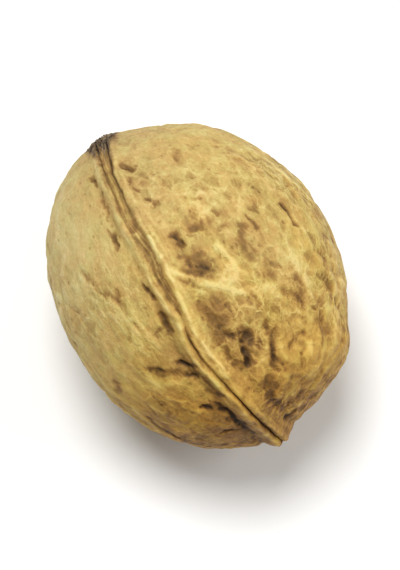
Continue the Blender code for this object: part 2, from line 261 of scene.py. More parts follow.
print("rim:", round(RIM_HEIGHT / MM, 2), "mm high, furrow:", round(FURROW_DEPTH / MM, 2), "mm deep")

# %% Split and fibrous strip
SPLIT_DEPTH, UNDER_SPLIT, SPLIT_WIDTH = 0.50 * MM, 0.35, 0.15 * MM
STRIP_DEPTH, STRIP_EDGE = 0.25 * MM, 0.1 * MM
SPLIT_START, SPLIT_CLOSED, SPLIT_PATCHES = 0.03, (0.42, 0.64), (1, 0.4, 3.0, 37.0)
# How much of its depth a pale split has, and how much more a dark one.
PALE_SPLIT, DARK_SPLIT = 0.35, 0.75
# How much narrower the split is past the middle, and where it narrows.
NARROWER, NARROWS = 0.15, (0.5, 0.7)
FIBRE_PITCH, FIBRE_HEIGHT, FIBRE_STRETCH = 0.40 * MM, 0.09 * MM, np.array([0.3, 1, 1])
FIBRE_DRIFT = (0, 0.5 * MM, 1.5, 83.0)
# The shade of the groove: its width, what it loses where the split is closed, and its most.
GROOVE_WIDTH, GROOVE_LOSS, GROOVE_MOST = 0.40 * MM, 0.4, 1.1
# Past here the strip is brown between its pale fibres.
BROWN_STRIP = (0.3, 0.36)


def split_depth(upper, darkness):
    """Deepest where the split is darkest, and shallower under the nut."""
    share = UNDER_SPLIT + (1 - UNDER_SPLIT) * upper
    return SPLIT_DEPTH * share * (PALE_SPLIT + DARK_SPLIT * darkness)


def split_relief(points, along, upper, across, strip_half):
    """Heights of the grooves or split and of the strip between them, and masks of them."""
    beside = np.abs(across)
    strip = 1 - smooth_step(strip_half - STRIP_EDGE, strip_half + STRIP_EDGE, beside)
    strip = strip * (strip_half > 0)
    width = SPLIT_WIDTH * patchy(points, *SPLIT_PATCHES)
    split = bell(beside - strip_half, width * (1 - NARROWER * smooth_step(*NARROWS, along)))
    darkness = np.where(across > 0, look_up(along, DARKNESS), look_up(along, DARKNESS, 2))
    started = smooth_step(0.0, SPLIT_START, along)
    sunken = np.maximum(split_depth(upper, darkness) * split, STRIP_DEPTH * strip)
    drift = patchy(points * FIBRE_STRETCH, *FIBRE_DRIFT)
    fibres = np.cos(tau * (across + drift) / FIBRE_PITCH) * strip
    brown = smooth_step(*BROWN_STRIP, along)
    groove = bell(beside - strip_half, GROOVE_WIDTH) * upper * started
    groove = groove * (1 - GROOVE_LOSS * smooth_step(*SPLIT_CLOSED, along))
    masks = {
        "split": split * started * (0.55 + 0.45 * upper) * darkness,
        "groove": groove * np.clip(1.5 * darkness, 0, GROOVE_MOST),
        "strip": strip,
        "band": strip * brown,
        "fibre": fibres * (0.45 + 0.55 * brown),
    }
    return FIBRE_HEIGHT * fibres - started * sunken, masks


print("split and strip:", [round(depth / MM, 2) for depth in (SPLIT_DEPTH, STRIP_DEPTH)], "mm deep")

# %% Lips and rim threads
# How far the pale lip of the fuller side stands off the split, in mm, place by place.
FULL_LIP_PLACE = (
    (0.3, 0.75), (0.5, 0.7), (0.6, 0.6), (0.72, 1.25), (0.82, 1.2), (0.9, 0.6),
)
LEAN_LIP_PLACE = 0.62 * MM
LIP_HEIGHT, FULL_LIP_WIDTH, LEAN_LIP_WIDTH = 0.20 * MM, 0.30 * MM, 0.36 * MM
# How much of each lip there is before it rises, and where it rises.
FULL_LIP_FAINT, LEAN_LIP_FAINT, LIP_RISE = 0.15, 0.40, (0.42, 0.6)
# The leaner lip's pale mask is raised by this share, partly for its wear and partly as painted
# light, since its slope faces away from the lamps.
LEAN_LIP_WORN_AND_LIT, LIP_PATCHES, LIP_LIMIT = 1.35, (0.75, 1.2, 1.1, 63.0), 1.4
RIM_THREAD_SIZE, RIM_THREAD_HEIGHT, RIM_THREAD_STRETCH = 0.32 * MM, 0.05 * MM, 0.10
# The torn end at the stem: its width each side of the seam, and its length along the nut.
TORN_WIDTH, TORN_LENGTH = (1.6 * MM, 2.6 * MM), (0.03, 0.10)


def lip_relief(points, along, across, strip_half):
    """Heights of the lips beside the split, and a mask of where they are worn pale.

    On the leaner side the mask is raised further as painted light, as that lip faces away from
    the lamps.
    """
    full = across > 0
    stand_off = np.where(full, MM * look_up(along, FULL_LIP_PLACE), LEAN_LIP_PLACE)
    width = np.where(full, FULL_LIP_WIDTH, LEAN_LIP_WIDTH)
    faint = np.where(full, FULL_LIP_FAINT, LEAN_LIP_FAINT)
    lip = bell(np.abs(across) - strip_half - stand_off, width)
    lip = lip * (faint + (1 - faint) * smooth_step(*LIP_RISE, along))
    worn = lip * np.clip(patchy(points, *LIP_PATCHES), 0, LIP_LIMIT)
    return LIP_HEIGHT * lip, worn * np.where(full, 1.0, LEAN_LIP_WORN_AND_LIT)


def seam_relief(points, along):
    """Heights of all that runs along the seam, and a mask of each part."""
    upper, across, width, strip_half = seam_measures(points, along)
    rim, masks = rim_relief(points, along, across, width)
    split, split_masks = split_relief(points, along, upper, across, strip_half)
    lips, masks["lip"] = lip_relief(points, along, across, strip_half)
    masks.update(split_masks)
    near_seam = 1 - smooth_step(*TORN_WIDTH, np.abs(across))
    masks["torn"] = near_seam * (1 - smooth_step(*TORN_LENGTH, along)) * upper
    drawn_out = RIM_THREAD_STRETCH * points
    drawn_out[:, 1] = across
    rim_threads = noise_field(drawn_out, RIM_THREAD_SIZE, 41.0)
    masks["thread"] = masks["rim"] * (1 - masks["strip"]) * rim_threads
    return rim + lips + split + RIM_THREAD_HEIGHT * masks["thread"], masks


print("lips:", round(LIP_HEIGHT / MM, 2), "mm high")

# %% [markdown]
# ## Lumps, valleys and the raised net
#
# Between the rim and the middle of each cheek the shell is never smooth: broad swells carry rounded
# lumps with narrow valleys between them. Where smooth noise crosses zero it draws long winding
# lines, so its distance from zero gives both: valleys from one field, thin ridges from another. The
# points are first pushed about a little and squeezed along the nut, which makes the lines follow
# the grain.

# %% Wrinkles
SWELL_SIZE, SWELL_HEIGHT = 13.0 * MM, 0.35 * MM
LUMP_SIZE, LUMP_HEIGHT, LUMP_LEVEL = 4.4 * MM, 0.34 * MM, 0.2
NET_SIZE, NET_HEIGHT, NET_WIDTH, NET_LEVEL = 3.4 * MM, 0.17 * MM, 0.14, 0.3
VALLEY_DEPTH, VALLEY_WIDTH = 0.16 * MM, 0.10
CELL_SIZE, CELL_DEPTH, CELL_SWAY, BORDER_WIDTH = 2.5 * MM, 0.16 * MM, 0.55 * MM, 0.16
GRAIN_STRETCH, GRAIN_SWAY = np.array([0.62, 1.0, 1.0]), 2.2 * MM
# How rough the leaner side is where it shows and where it is hidden, and both cheeks at the stem.
LEAN_CALM, LEAN_ROUGH, STEM_CALM = 0.5, 1.0, 0.45
CALM_PATCHES = (0.75, 0.6, 10.0, 61.0)
# Where each of these starts and is full: the cheek beside the rim, and away from the stem, and the
# hidden part of the leaner side.
CHEEK_EDGE, STEM_EDGE, HIDDEN_EDGE = (2.2 * MM, 4.6 * MM), (-0.4, -0.05), (9 * MM, -2 * MM)


def cell_field(points, size):
    """Cells like those of a net: how far from its border each point is, and its cell's value."""
    border, value = np.empty(len(points)), np.empty(len(points))
    for i, p in enumerate(points / size):
        distances, centres = noise.voronoi(Vector(p))
        border[i] = distances[1] - distances[0]
        value[i] = noise.cell(centres[0] * 37.0)
    return border, (value - value.min()) / np.ptp(value)


def cheek_shares(points):
    """How far out on the cheek each point is, from 0 on the rim to 1, and how rough it is there."""
    cheek = smooth_step(*CHEEK_EDGE, np.abs(points[:, 1]))
    from_stem = smooth_step(*STEM_EDGE, points[:, 0] / LENGTH)
    cheek = cheek * (STEM_CALM + (1 - STEM_CALM) * from_stem)
    hidden = smooth_step(*HIDDEN_EDGE, points[:, 2])
    calm = np.where(points[:, 1] > 0, 1.0, LEAN_CALM + (LEAN_ROUGH - LEAN_CALM) * hidden)
    return cheek, calm * patchy(points, *CALM_PATCHES)


def wrinkle_relief(points):
    """Heights of the swells, lumps, valleys and net, and masks of what is hollow or raised."""
    bent = points * GRAIN_STRETCH + GRAIN_SWAY * noise_push(points, 8 * MM, 3.0)
    lumps = noise_field(bent, LUMP_SIZE, 7.0)
    net = bell(noise_field(bent, NET_SIZE, 17.0), NET_WIDTH)
    raised = LUMP_HEIGHT * (np.abs(lumps) - LUMP_LEVEL) + NET_HEIGHT * (net - NET_LEVEL)
    valley = bell(lumps, VALLEY_WIDTH)
    border, value = cell_field(bent + CELL_SWAY * noise_push(points, 1.6 * MM, 33.0), CELL_SIZE)
    cell = smooth_step(0.05, 0.45, border) * value
    cheek, calm = cheek_shares(points)
    rough = cheek * calm * (raised - VALLEY_DEPTH * valley - CELL_DEPTH * cell)
    masks = {"valley": valley * cheek, "net": net * cheek, "cell": cell * cheek, "calm": calm}
    masks["border"] = (1 - smooth_step(0.0, BORDER_WIDTH, border)) * cheek
    return SWELL_HEIGHT * noise_field(points, SWELL_SIZE, 47.0) + rough, masks


print("cells of the net:", round(CELL_SIZE / MM, 1), "mm across")

# %% [markdown]
# ## Pits and stains
#
# The husk dries on in the low places, so most of the brown marks are also hollows. They could all
# be scattered by chance, but a nut is known by its marks: those of the side that shows are placed
# one by one, and the rest of the nut gets a seeded scatter of the same kind, because someone will
# turn it round. Each mark is a short stroke, and noise bends its edge.

# %% Marks
# Each row runs from one place on the nut to another: along and degrees around, twice, then the
# width in mm and how dark it is from 0 to 1. Degrees go from the upper seam, + to the fuller side.
MARKS = [
    # fuller cheek, towards the stem
    (0.19, 41, 0.225, 38, 1.0, 0.5), (0.186, 48, 0.197, 48, 0.6, 0.4),
    (0.341, 31, 0.346, 34, 0.6, 0.6), (0.403, 34, 0.422, 35, 0.6, 0.8),
    (0.289, 46, 0.313, 48, 0.5, 0.5), (0.292, 60, 0.27, 69, 0.2, 0.45),
    (0.43, 66, 0.426, 71, 0.5, 0.6), (0.464, 61, 0.546, 62, 0.5, 1.0),
    (0.462, 45, 0.51, 46, 0.5, 0.9), (0.426, 51, 0.454, 49, 0.8, 0.6),
    (0.419, 23, 0.429, 30, 1.2, 0.6), (0.461, 32, 0.459, 35, 0.9, 0.6),
    (0.405, 15, 0.447, 17, 0.8, 0.85), (0.481, 40, 0.515, 38, 1.0, 0.7),
    (0.521, 37, 0.569, 39, 1.9, 0.6), (0.485, 18, 0.539, 20, 2.5, 0.55),
    (0.533, 15, 0.556, 16, 0.8, 0.7), (0.479, 15, 0.504, 16, 1.0, 0.75),
    (0.637, 30, 0.673, 30, 1.2, 0.5), (0.673, 53, 0.719, 54, 1.0, 0.6),
    (0.594, 80, 0.617, 76, 1.0, 0.4), (0.637, 73, 0.687, 70, 1.2, 0.45),
    (0.632, 52, 0.652, 52, 0.5, 0.5), (0.638, 38, 0.637, 40, 0.6, 0.5),
    (0.408, 43, 0.426, 43, 0.5, 0.4),
    # fuller cheek, towards the tip
    (0.632, 13, 0.684, 15, 2.5, 0.75), (0.718, 14, 0.734, 15, 1.0, 0.75),
    (0.727, 14, 0.732, 16, 0.6, 0.85), (0.746, 23, 0.778, 22, 1.1, 0.66),
    (0.77, 19, 0.822, 17, 0.9, 0.88), (0.748, 32, 0.777, 31, 0.8, 0.6),
    (0.782, 26, 0.805, 25, 0.6, 0.6), (0.785, 33, 0.82, 30, 0.5, 0.6),
    (0.82, 30, 0.868, 30, 0.8, 0.7), (0.762, 11, 0.809, 10, 1.5, 0.4),
    (0.882, 20, 0.918, 23, 1.2, 0.75), (0.933, 24, 0.966, 32, 0.9, 0.7),
    (0.962, 40, 0.953, 49, 1.1, 0.6), (0.984, 43, 0.981, 53, 0.8, 0.8),
    (0.868, 45, 0.898, 45, 0.5, 0.5), (0.813, 49, 0.826, 50, 0.5, 0.45),
    (0.882, 22, 0.918, 26, 1.2, 0.5), (0.844, 82, 0.88, 80, 0.6, 0.45),
    (0.93, 63, 0.956, 87, 0.8, 0.45), (0.733, 51, 0.749, 53, 0.8, 0.5),
    # beside the grooves
    (0.145, 14, 0.17, 16, 0.9, 0.97), (0.156, 19, 0.167, 20, 0.5, 0.5),
    (0.199, 13, 0.239, 14, 0.6, 0.65), (0.275, 15, 0.296, 17, 0.6, 0.8),
    (0.358, 14, 0.377, 14, 0.5, 0.5),
    # leaner side
    (0.012, -12, 0.03, -14, 0.7, 0.85), (0.015, 30, 0.03, 8, 1.2, 0.7),
    (0.129, -6, 0.152, -5, 0.6, 0.8), (0.17, -5, 0.231, -5, 0.5, 0.55),
    (0.237, -5, 0.269, -6, 0.5, 0.5), (0.297, -8, 0.315, -8, 0.5, 0.65),
    (0.315, -7, 0.345, -7, 0.8, 0.93), (0.346, -28, 0.373, -27, 0.5, 0.5),
    (0.488, -5, 0.531, -4, 0.6, 0.95), (0.597, -5, 0.633, -6, 1.0, 0.88),
    (0.614, -8, 0.621, -14, 0.6, 0.6), (0.394, -25, 0.459, -23, 0.5, 0.55),
    (0.426, -40, 0.444, -45, 1.0, 0.35), (0.499, -36, 0.521, -38, 0.8, 0.35),
    (0.572, -22, 0.593, -23, 0.6, 0.55), (0.721, -10, 0.751, -6, 0.5, 0.92),
    (0.75, -13, 0.778, -9, 0.5, 0.8), (0.684, -26, 0.764, -8, 1.2, 0.5),
    (0.696, -26, 0.741, -16, 0.8, 0.45), (0.789, -6, 0.846, -4, 0.8, 0.7),
    (0.85, -18, 0.863, -13, 0.6, 0.8), (0.862, -10, 0.895, -8, 0.7, 0.72),
    (0.895, -8, 0.943, -9, 0.7, 0.7), (0.943, -9, 0.977, -14, 0.6, 0.6),
    (0.912, -13, 0.925, -12, 0.6, 0.6), (0.934, -26, 0.942, -21, 0.6, 0.75),
    (0.733, -33, 0.791, -34, 0.6, 0.45), (0.449, -17, 0.469, -17, 0.6, 0.5),
]
HIDDEN_MARKS, HIDDEN_SEED = 84, 5


def all_marks():
    """The marks that show, and a seeded scatter of like ones over the rest of the nut."""
    draw = random.Random(HIDDEN_SEED)
    scattered = []
    for _ in range(HIDDEN_MARKS):
        along, degrees = draw.uniform(0.08, 0.92), draw.uniform(84, 312)
        length, lean = draw.uniform(0.01, 0.06), draw.uniform(-4, 4)
        width, dark = draw.uniform(0.4, 1.0) ** 2 * 1.5, draw.uniform(0.35, 0.9)
        scattered.append((along, degrees, along + length, degrees + lean, width, dark))
    return MARKS + scattered


print("marks:", len(MARKS), "placed,", HIDDEN_MARKS, "scattered")

# %% Depth and stain of the marks
MARK_RAGS = ((0.55, 1.4, 91.0), (0.30, 0.5, 94.0))
# Depths in mm: of a faint mark, what the darkest has more, and the most for each mm of width.
FAINT_DEPTH, DARK_DEPTH, DEPTH_SHARE = 0.12, 0.55, 0.7
BROAD_MARK, BROAD_SHARE = 1.3, 0.6
# A stain is wider than its pit and has a soft edge, and only the darkest have a core.
STAIN_SPREAD, STAIN_EDGE, CORE_DARK, CORE_WIDTH = 1.25, 0.8, 0.9, 0.8


def stroke_reach(points, row):
    """Distance to a stroke, measured in half widths: below 1 is inside it."""
    start, end = place(row[0], row[1]), place(row[2], row[3])
    run = end - start
    share = np.clip((points - start) @ run / max(run @ run, 1e-12), 0, 1)
    away = np.linalg.norm(points - start - np.outer(share, run), axis=1)
    return away / (0.5 * row[4] * MM)


def mark_depth(width, dark):
    """How deep a mark is in mm. Dark ones are deep, and broad ones are shallow for their width."""
    deep = min(FAINT_DEPTH + DARK_DEPTH * dark**4, DEPTH_SHARE * width)
    return deep if width < BROAD_MARK else BROAD_SHARE * deep


def mark_relief(points):
    """Heights of the marks and a mask of their stain."""
    depth, stain = np.zeros(len(points)), np.zeros(len(points))
    bent = ragged(points, *MARK_RAGS)
    for row in all_marks():
        reach = stroke_reach(bent, row)
        width, dark = row[4:]
        depth = np.maximum(depth, mark_depth(width, dark) * MM * bell(reach, 1.0))
        core = 2 * max(dark - CORE_DARK, 0) * bell(reach, CORE_WIDTH)
        stain = np.maximum(stain, dark * bell(reach, STAIN_SPREAD) ** STAIN_EDGE + core)
    return -depth, stain


print("deepest mark:", round(max(mark_depth(*row[4:]) for row in MARKS), 2), "mm")

# %% [markdown]
# ## A looped ridge, veins and fine lines
#
# Near the tip of the fuller half low ridges run round each other, as round a knot in wood, and a
# few thin veins leave the seam rim. Finer lines, ridges and grooves, fill the places between. They
# are what the eye finds again on this nut, so each gets its own place by the same strokes as the
# marks.

# %% Loop
LOOP_ALONG, LOOP_DEGREES = 0.848, 44
LOOP_RADIUS, LOOP_PITCH, LOOP_HEIGHT = 4.2 * MM, 1.55 * MM, 0.08 * MM
LOOP_EDGE, LOOP_SQUEEZE = (0.75 * LOOP_RADIUS, 1.15 * LOOP_RADIUS), np.array([0.85, 1, 1])
LOOP_RAGS = ((0.8, 3.0, 97.0), (0.3, 1.0, 98.0))
LOOP_PATCHES, LOOP_LIMIT = (0.65, 0.8, 1.8, 29.0), 1.2


def loop_relief(points):
    """Rings one round the other: their height, a mask of them and a mask of the place they fill."""
    pushed = ragged(np.vstack([points, place(LOOP_ALONG, LOOP_DEGREES)]), *LOOP_RAGS)
    away = np.linalg.norm((pushed[:-1] - pushed[-1]) * LOOP_SQUEEZE, axis=1)
    area = 1 - smooth_step(*LOOP_EDGE, away)
    rings = area * np.cos(tau * away / LOOP_PITCH)
    rings = rings * np.clip(patchy(points, *LOOP_PATCHES), 0, LOOP_LIMIT)
    return LOOP_HEIGHT * rings, rings, area


print("loop:", round(LOOP_RADIUS / LOOP_PITCH, 1), "rings")

# %% Veins
# Rows as for the marks, but the last number is how high and pale the vein is.
VEINS = [
    (0.384, 7, 0.457, 6, 0.5, 0.9), (0.574, 6, 0.639, 4, 0.6, 0.85),
    (0.508, 29, 0.593, 31, 0.8, 0.8), (0.593, 31, 0.602, 23, 0.8, 0.8),
    (0.602, 23, 0.572, 13, 0.6, 0.7), (0.292, 33, 0.358, 35, 0.6, 0.4),
    (0.359, 30, 0.391, 32, 1.2, 0.45), (0.378, 37, 0.411, 38, 0.5, 0.7),
    (0.438, 57, 0.504, 58, 0.5, 0.45), (0.493, 60, 0.569, 61, 0.5, 0.45),
    (0.786, 5, 0.811, 4, 0.8, 0.8), (0.716, 3, 0.74, 3, 0.8, 0.6), (0.922, 46, 0.91, 58, 0.5, 0.55),
    (0.657, 23, 0.686, 24, 0.6, 0.6), (0.568, 28, 0.616, 34, 1.0, 0.5),
    (0.229, 35, 0.267, 35, 0.5, 0.4), (0.591, 58, 0.621, 61, 1.0, 0.4),
    (0.83, 23, 0.865, 23, 0.6, 0.4), (0.42, -29, 0.535, -23, 0.5, 0.6),
    (0.535, -23, 0.632, -20, 0.5, 0.55), (0.703, 4, 0.736, 3, 0.9, 0.9),
    (0.777, 3, 0.804, 3, 0.7, 0.9), (0.654, 7, 0.695, 5, 0.8, 0.6), (0.843, 4, 0.868, 5, 0.5, 0.6),
    (0.55, 5, 0.61, 4, 0.6, 0.55), (0.528, -6, 0.622, -8, 0.7, 0.4),
    (0.416, 21, 0.454, 24, 0.5, 0.5), (0.595, 18, 0.652, 29, 0.6, 0.7),
    (0.545, 16, 0.6, 19, 0.6, 0.6), (0.664, 28, 0.701, 28, 0.5, 0.5),
    (0.536, 40, 0.571, 42, 0.6, 0.5), (0.587, 49, 0.631, 52, 0.8, 0.5),
    (0.63, 57, 0.678, 57, 0.8, 0.5), (0.759, 65, 0.813, 67, 0.6, 0.4),
    (0.352, 1, 0.362, 5, 0.5, 0.8),
]
VEIN_RAG, VEIN_HEIGHT, WIDEST_VEIN = (0.35, 1.2, 57.0), 0.30, 0.8


def vein_relief(points):
    """Thin ridges that run from one place on the shell to another, and a mask of them."""
    height, mask = np.zeros(len(points)), np.zeros(len(points))
    bent = ragged(points, VEIN_RAG)
    for row in VEINS:
        ridge = row[5] * bell(stroke_reach(bent, row), 1.0)
        height = np.maximum(height, VEIN_HEIGHT * min(row[4], WIDEST_VEIN) * MM * ridge)
        mask = np.maximum(mask, ridge)
    return height, mask


print("veins:", len(VEINS))

# %% Fine lines
# Rows as for the marks, but the last number is + for a ridge and - for a groove.
FINE_LINES = [
    # arcs round the middle of the loop
    (0.77, 36, 0.807, 32, 0.5, -0.9), (0.807, 32, 0.838, 30, 0.6, -1.0),
    (0.838, 30, 0.879, 34, 0.6, -0.9), (0.795, 61, 0.836, 61, 0.5, -0.8),
    (0.836, 61, 0.868, 59, 0.5, -0.7), (0.771, 31, 0.808, 28, 0.5, 0.6),
    (0.808, 28, 0.843, 26, 0.5, 0.6), (0.868, 26, 0.901, 35, 0.5, 0.7),
    (0.928, 49, 0.915, 57, 0.5, 1.0), (0.792, 38, 0.823, 35, 0.5, 0.6),
    (0.823, 35, 0.859, 35, 0.5, 0.6), (0.818, 50, 0.817, 44, 0.5, -0.8),
    (0.817, 44, 0.836, 40, 0.5, -0.8), (0.877, 45, 0.898, 44, 0.5, -0.8),
    (0.85, 52, 0.879, 50, 0.6, 1.0), (0.758, 48, 0.778, 53, 0.5, 0.7),
    (0.778, 53, 0.815, 58, 0.5, 0.6), (0.74, 52, 0.752, 52, 0.6, -0.8),
    (0.76, 56, 0.775, 59, 0.5, -0.8), (0.783, 68, 0.83, 72, 0.7, 0.7),
    (0.83, 72, 0.877, 71, 0.7, 0.7),
    # leaner side, towards the tip
    (0.682, -25, 0.707, -21, 0.5, -0.8), (0.707, -21, 0.731, -14, 0.5, -0.7),
    (0.725, -10, 0.747, -5, 0.6, -1.0), (0.762, -12, 0.773, -6, 0.5, -0.9),
    (0.847, -19, 0.866, -14, 0.5, -0.9), (0.877, -11, 0.904, -7, 0.5, -0.9),
    (0.904, -7, 0.943, -12, 0.5, -0.9), (0.822, -9, 0.844, -5, 0.5, -0.8),
    (0.93, -23, 0.95, -15, 0.5, -0.7), (0.75, -42, 0.787, -44, 0.6, -0.6),
    (0.778, -28, 0.811, -23, 0.6, 0.8), (0.82, -25, 0.856, -21, 0.6, 0.7),
    (0.743, -23, 0.767, -16, 0.6, 0.8), (0.709, -29, 0.737, -26, 0.6, 0.6),
    (0.907, -43, 0.952, -48, 0.5, 0.6), (0.628, -15, 0.655, -14, 0.6, 0.7),
    (0.631, -22, 0.657, -20, 0.6, 0.6),
    # the deepest pit, and the brown place above it
    (0.785, 18, 0.816, 16, 0.9, -1.2), (0.752, 23, 0.772, 22, 0.8, -0.5),
    # beside the strip at the stem
    (0.015, -20, 0.036, -9, 0.7, -1.0), (0.036, -9, 0.07, -3, 0.6, -1.0),
    (0.07, -3, 0.117, 1, 0.5, -0.9), (0.014, 8, 0.038, 5, 0.5, -0.8),
    (0.038, 5, 0.066, 7, 0.5, -0.6),
    # leaner side, middle
    (0.352, -28, 0.486, -18, 0.5, -0.8), (0.486, -18, 0.598, -16, 0.5, -0.7),
    (0.357, -30, 0.495, -20, 0.5, 0.5), (0.495, -20, 0.601, -18, 0.5, 0.5),
    # a double ridge that leaves the seam rim, and what lies round it
    (0.483, 9, 0.525, 13, 0.45, -0.7), (0.492, 7, 0.556, 15, 0.5, 1.0),
    (0.556, 15, 0.612, 23, 0.5, 1.0), (0.524, 8, 0.576, 14, 0.45, -0.8),
    (0.576, 14, 0.635, 23, 0.45, -0.8), (0.497, 28, 0.566, 31, 0.5, 1.0),
    (0.384, 7, 0.448, 7, 0.45, 1.0), (0.357, 3, 0.368, 3, 0.5, 1.0),
    (0.482, 15, 0.52, 15, 0.45, -0.4), (0.481, 22, 0.528, 23, 0.45, -0.6),
    (0.489, 14, 0.476, 17, 0.45, 0.6), (0.528, 19, 0.555, 22, 0.45, -0.6),
]
LINE_RAG, LINE_HEIGHT, LINE_LIMIT = (0.16, 0.9, 59.0), 0.12 * MM, 1.2
HIDDEN_LINES, LINE_STEPS, LINE_SEED = 70, 3, 17


def all_lines():
    """The lines that show, and seeded ones that wander along the grain of the rest of the nut."""
    draw = random.Random(LINE_SEED)
    scattered = []
    for _ in range(HIDDEN_LINES):
        along, degrees = draw.uniform(0.05, 0.88), draw.uniform(86, 310)
        width, value = draw.uniform(0.45, 0.8), draw.choice((-1, -1, 1)) * draw.uniform(0.45, 1.0)
        for _ in range(LINE_STEPS):
            next_along = along + draw.uniform(0.010, 0.035)
            next_degrees = degrees + draw.gauss(0, 4)
            scattered.append((along, degrees, next_along, next_degrees, width, value))
            along, degrees = next_along, next_degrees
    return FINE_LINES + scattered


def line_relief(points):
    """Fine ridges and grooves, and a mask that is + on the ridges and - in the grooves."""
    bent = ragged(points, LINE_RAG)
    lines = np.sum([row[5] * bell(stroke_reach(bent, row), 1.0) for row in all_lines()], axis=0)
    lines = np.clip(lines, -LINE_LIMIT, LINE_LIMIT)
    return LINE_HEIGHT * lines, lines


print("fine lines:", len(FINE_LINES), "placed,", HIDDEN_LINES, "scattered")

# %% [markdown]
# ## Rubbed and soaked places, and some painted light
#
# Handling has rubbed some broad places pale, and in others the juice of the husk has soaked in
# brown. A few of the pale places, low on the leaner side, are painted light: they lighten where the
# lamps leave the nut dim. Both could be left to noise, but then the nut would lose the light and
# dark it is known by. They have colour and no depth, so each is a broad soft stroke that only
# makes a mask.

# %% Broad places
# Rows as for the marks, but the last number is how strong the mask is.
RUBS_AND_PAINTED_LIGHT = [
    (0.515, 26, 0.622, 28, 2.0, 0.62), (0.575, 16, 0.627, 26, 1.6, 0.6),
    (0.502, 28, 0.611, 32, 0.6, 0.7), (0.58, 58, 0.707, 57, 2.5, 0.45),
    (0.716, 62, 0.813, 67, 1.8, 0.35), (0.349, 31, 0.398, 32, 1.8, 0.5),
    (0.561, 31, 0.6, 24, 1.2, 0.6), (0.111, -41, 0.278, -37, 1.8, 0.35),
    (0.563, -9, 0.607, -27, 1.8, 0.3), (0.84, 50, 0.9, 58, 5.0, 0.4),
    # These two rows and the first on the next line are painted light: they lighten the lower leaner
    # side, where the lamps leave it dim.
    (0.511, -30, 0.64, -29, 3.0, 0.25), (0.719, -31, 0.838, -25, 3.2, 0.3),
    (0.838, -25, 0.87, -20, 2.2, 0.2), (0.12, 62, 0.3, 76, 6.0, 0.25),
]
SOAKED = [
    (0.645, 18, 0.766, 14, 3.8, 0.45), (0.781, 16, 0.931, 16, 4.0, 0.5),
    (0.444, 25, 0.557, 16, 4.2, 0.45), (0.694, -4, 0.844, -7, 2.8, 0.55),
    (0.498, -4, 0.66, -10, 4.2, 0.6), (0.911, -7, 0.985, -16, 5.0, 0.9),
    (0.386, 51, 0.502, 60, 5.0, 0.35), (0.88, -22, 0.985, -30, 4.0, 0.5),
    (0.594, -12, 0.633, -12, 3.0, 0.65), (0.668, 8, 0.71, 5, 1.5, 0.55),
    (0.641, 21, 0.688, 19, 2.5, 0.6), (0.757, 24, 0.846, 34, 3.0, 0.3),
    (0.953, -25, 0.981, -8, 2.5, 0.6), (0.42, 33, 0.5, 43, 2.5, 0.35),
]
BROAD_RAG = (0.8, 1.8, 67.0)


def broad_mask(points, rows):
    """Soft broad places with uneven edges, from 0 to 1."""
    bent = ragged(points, BROAD_RAG)
    return np.max([row[5] * bell(stroke_reach(bent, row), 1.0) for row in rows], axis=0)


print("broad places:", len(RUBS_AND_PAINTED_LIGHT), "rubbed,", len(SOAKED), "soaked")

# %% [markdown]
# ## The stem scar and the fine skin
#
# The stem breaks out of a small rough hollow. Everywhere else the skin of the shell is covered with
# fine dents, fibre lines and pinholes about half a millimetre across. All of it could be left to
# the material, but then the edge of the nut would be too smooth: the larger of these are real
# shape here, and only what is finer than the mesh is left to the material.

# %% Scar and skin
SCAR_RADIUS, SCAR_DEPTH, SCAR_STAIN, SCAR_END = 1.5 * MM, 0.7 * MM, 1.6, (0.02, 0.1)
SCAR_PATCHES = (1, 0.5, 0.9, 71.0)
DENT_SIZE, DENT_HEIGHT = 1.5 * MM, 0.07 * MM
GRAIN_SIZE, GRAIN_HEIGHT, SKIN_STRETCH = 0.7 * MM, 0.045 * MM, np.array([0.35, 1, 1])
PINHOLE_SIZE, PINHOLE_DEPTH, PINHOLE_SHARE = 1.1 * MM, 0.06 * MM, 0.28
PINHOLE_EDGE, PINHOLE_STRETCH = (0.25, 0.7), np.array([0.7, 1, 1])


def scar_relief(points, along):
    """The small rough hollow where the stem broke off, and a mask of its stain."""
    from_axis = np.hypot(points[:, 1] - STEM_SHIFT, points[:, 2])
    near_end = 1 - smooth_step(*SCAR_END, along)
    hollow = patchy(points, *SCAR_PATCHES) * bell(from_axis, SCAR_RADIUS) * near_end
    return -SCAR_DEPTH * hollow, bell(from_axis, SCAR_STAIN * SCAR_RADIUS) * near_end


def skin_relief(points):
    """Fine dents, fibre lines along the nut and pinholes, with a mask of the pinholes."""
    dents = noise_field(points, DENT_SIZE, 101.0)
    grain = noise_field(points * SKIN_STRETCH, GRAIN_SIZE, 103.0)
    border, value = cell_field(points * PINHOLE_STRETCH, PINHOLE_SIZE)
    pinhole = smooth_step(*PINHOLE_EDGE, border) * (value > 1 - PINHOLE_SHARE)
    height = DENT_HEIGHT * dents + GRAIN_HEIGHT * grain - PINHOLE_DEPTH * pinhole
    return height, pinhole


print("scar:", round(2 * SCAR_RADIUS / MM, 1), "mm across,", round(SCAR_DEPTH / MM, 1), "mm deep")

# %% [markdown]
# ## Putting the shell together
#
# The heights are added up and the sphere's points are moved out by that much. The masks could be
# painted as pictures, but here they are kept on the mesh as named attributes, which the material
# reads later: so a hollow and its stain can't drift apart. The sphere's columns are crowded towards
# the seam, where the detail is finest. The point that touches the table is flattened, as on the
# solid.

# %% All of the relief
# Round the loop the wrinkles are lower, so that its rings show, and so is the skin on the strip.
LOOP_CALM, STRIP_CALM = 0.4, 0.6
LEAN_SIDE, FULL_SIDE = (1 * MM, 6 * MM), (5 * MM, 15 * MM)
TIP_STAIN = 0.9 * MM


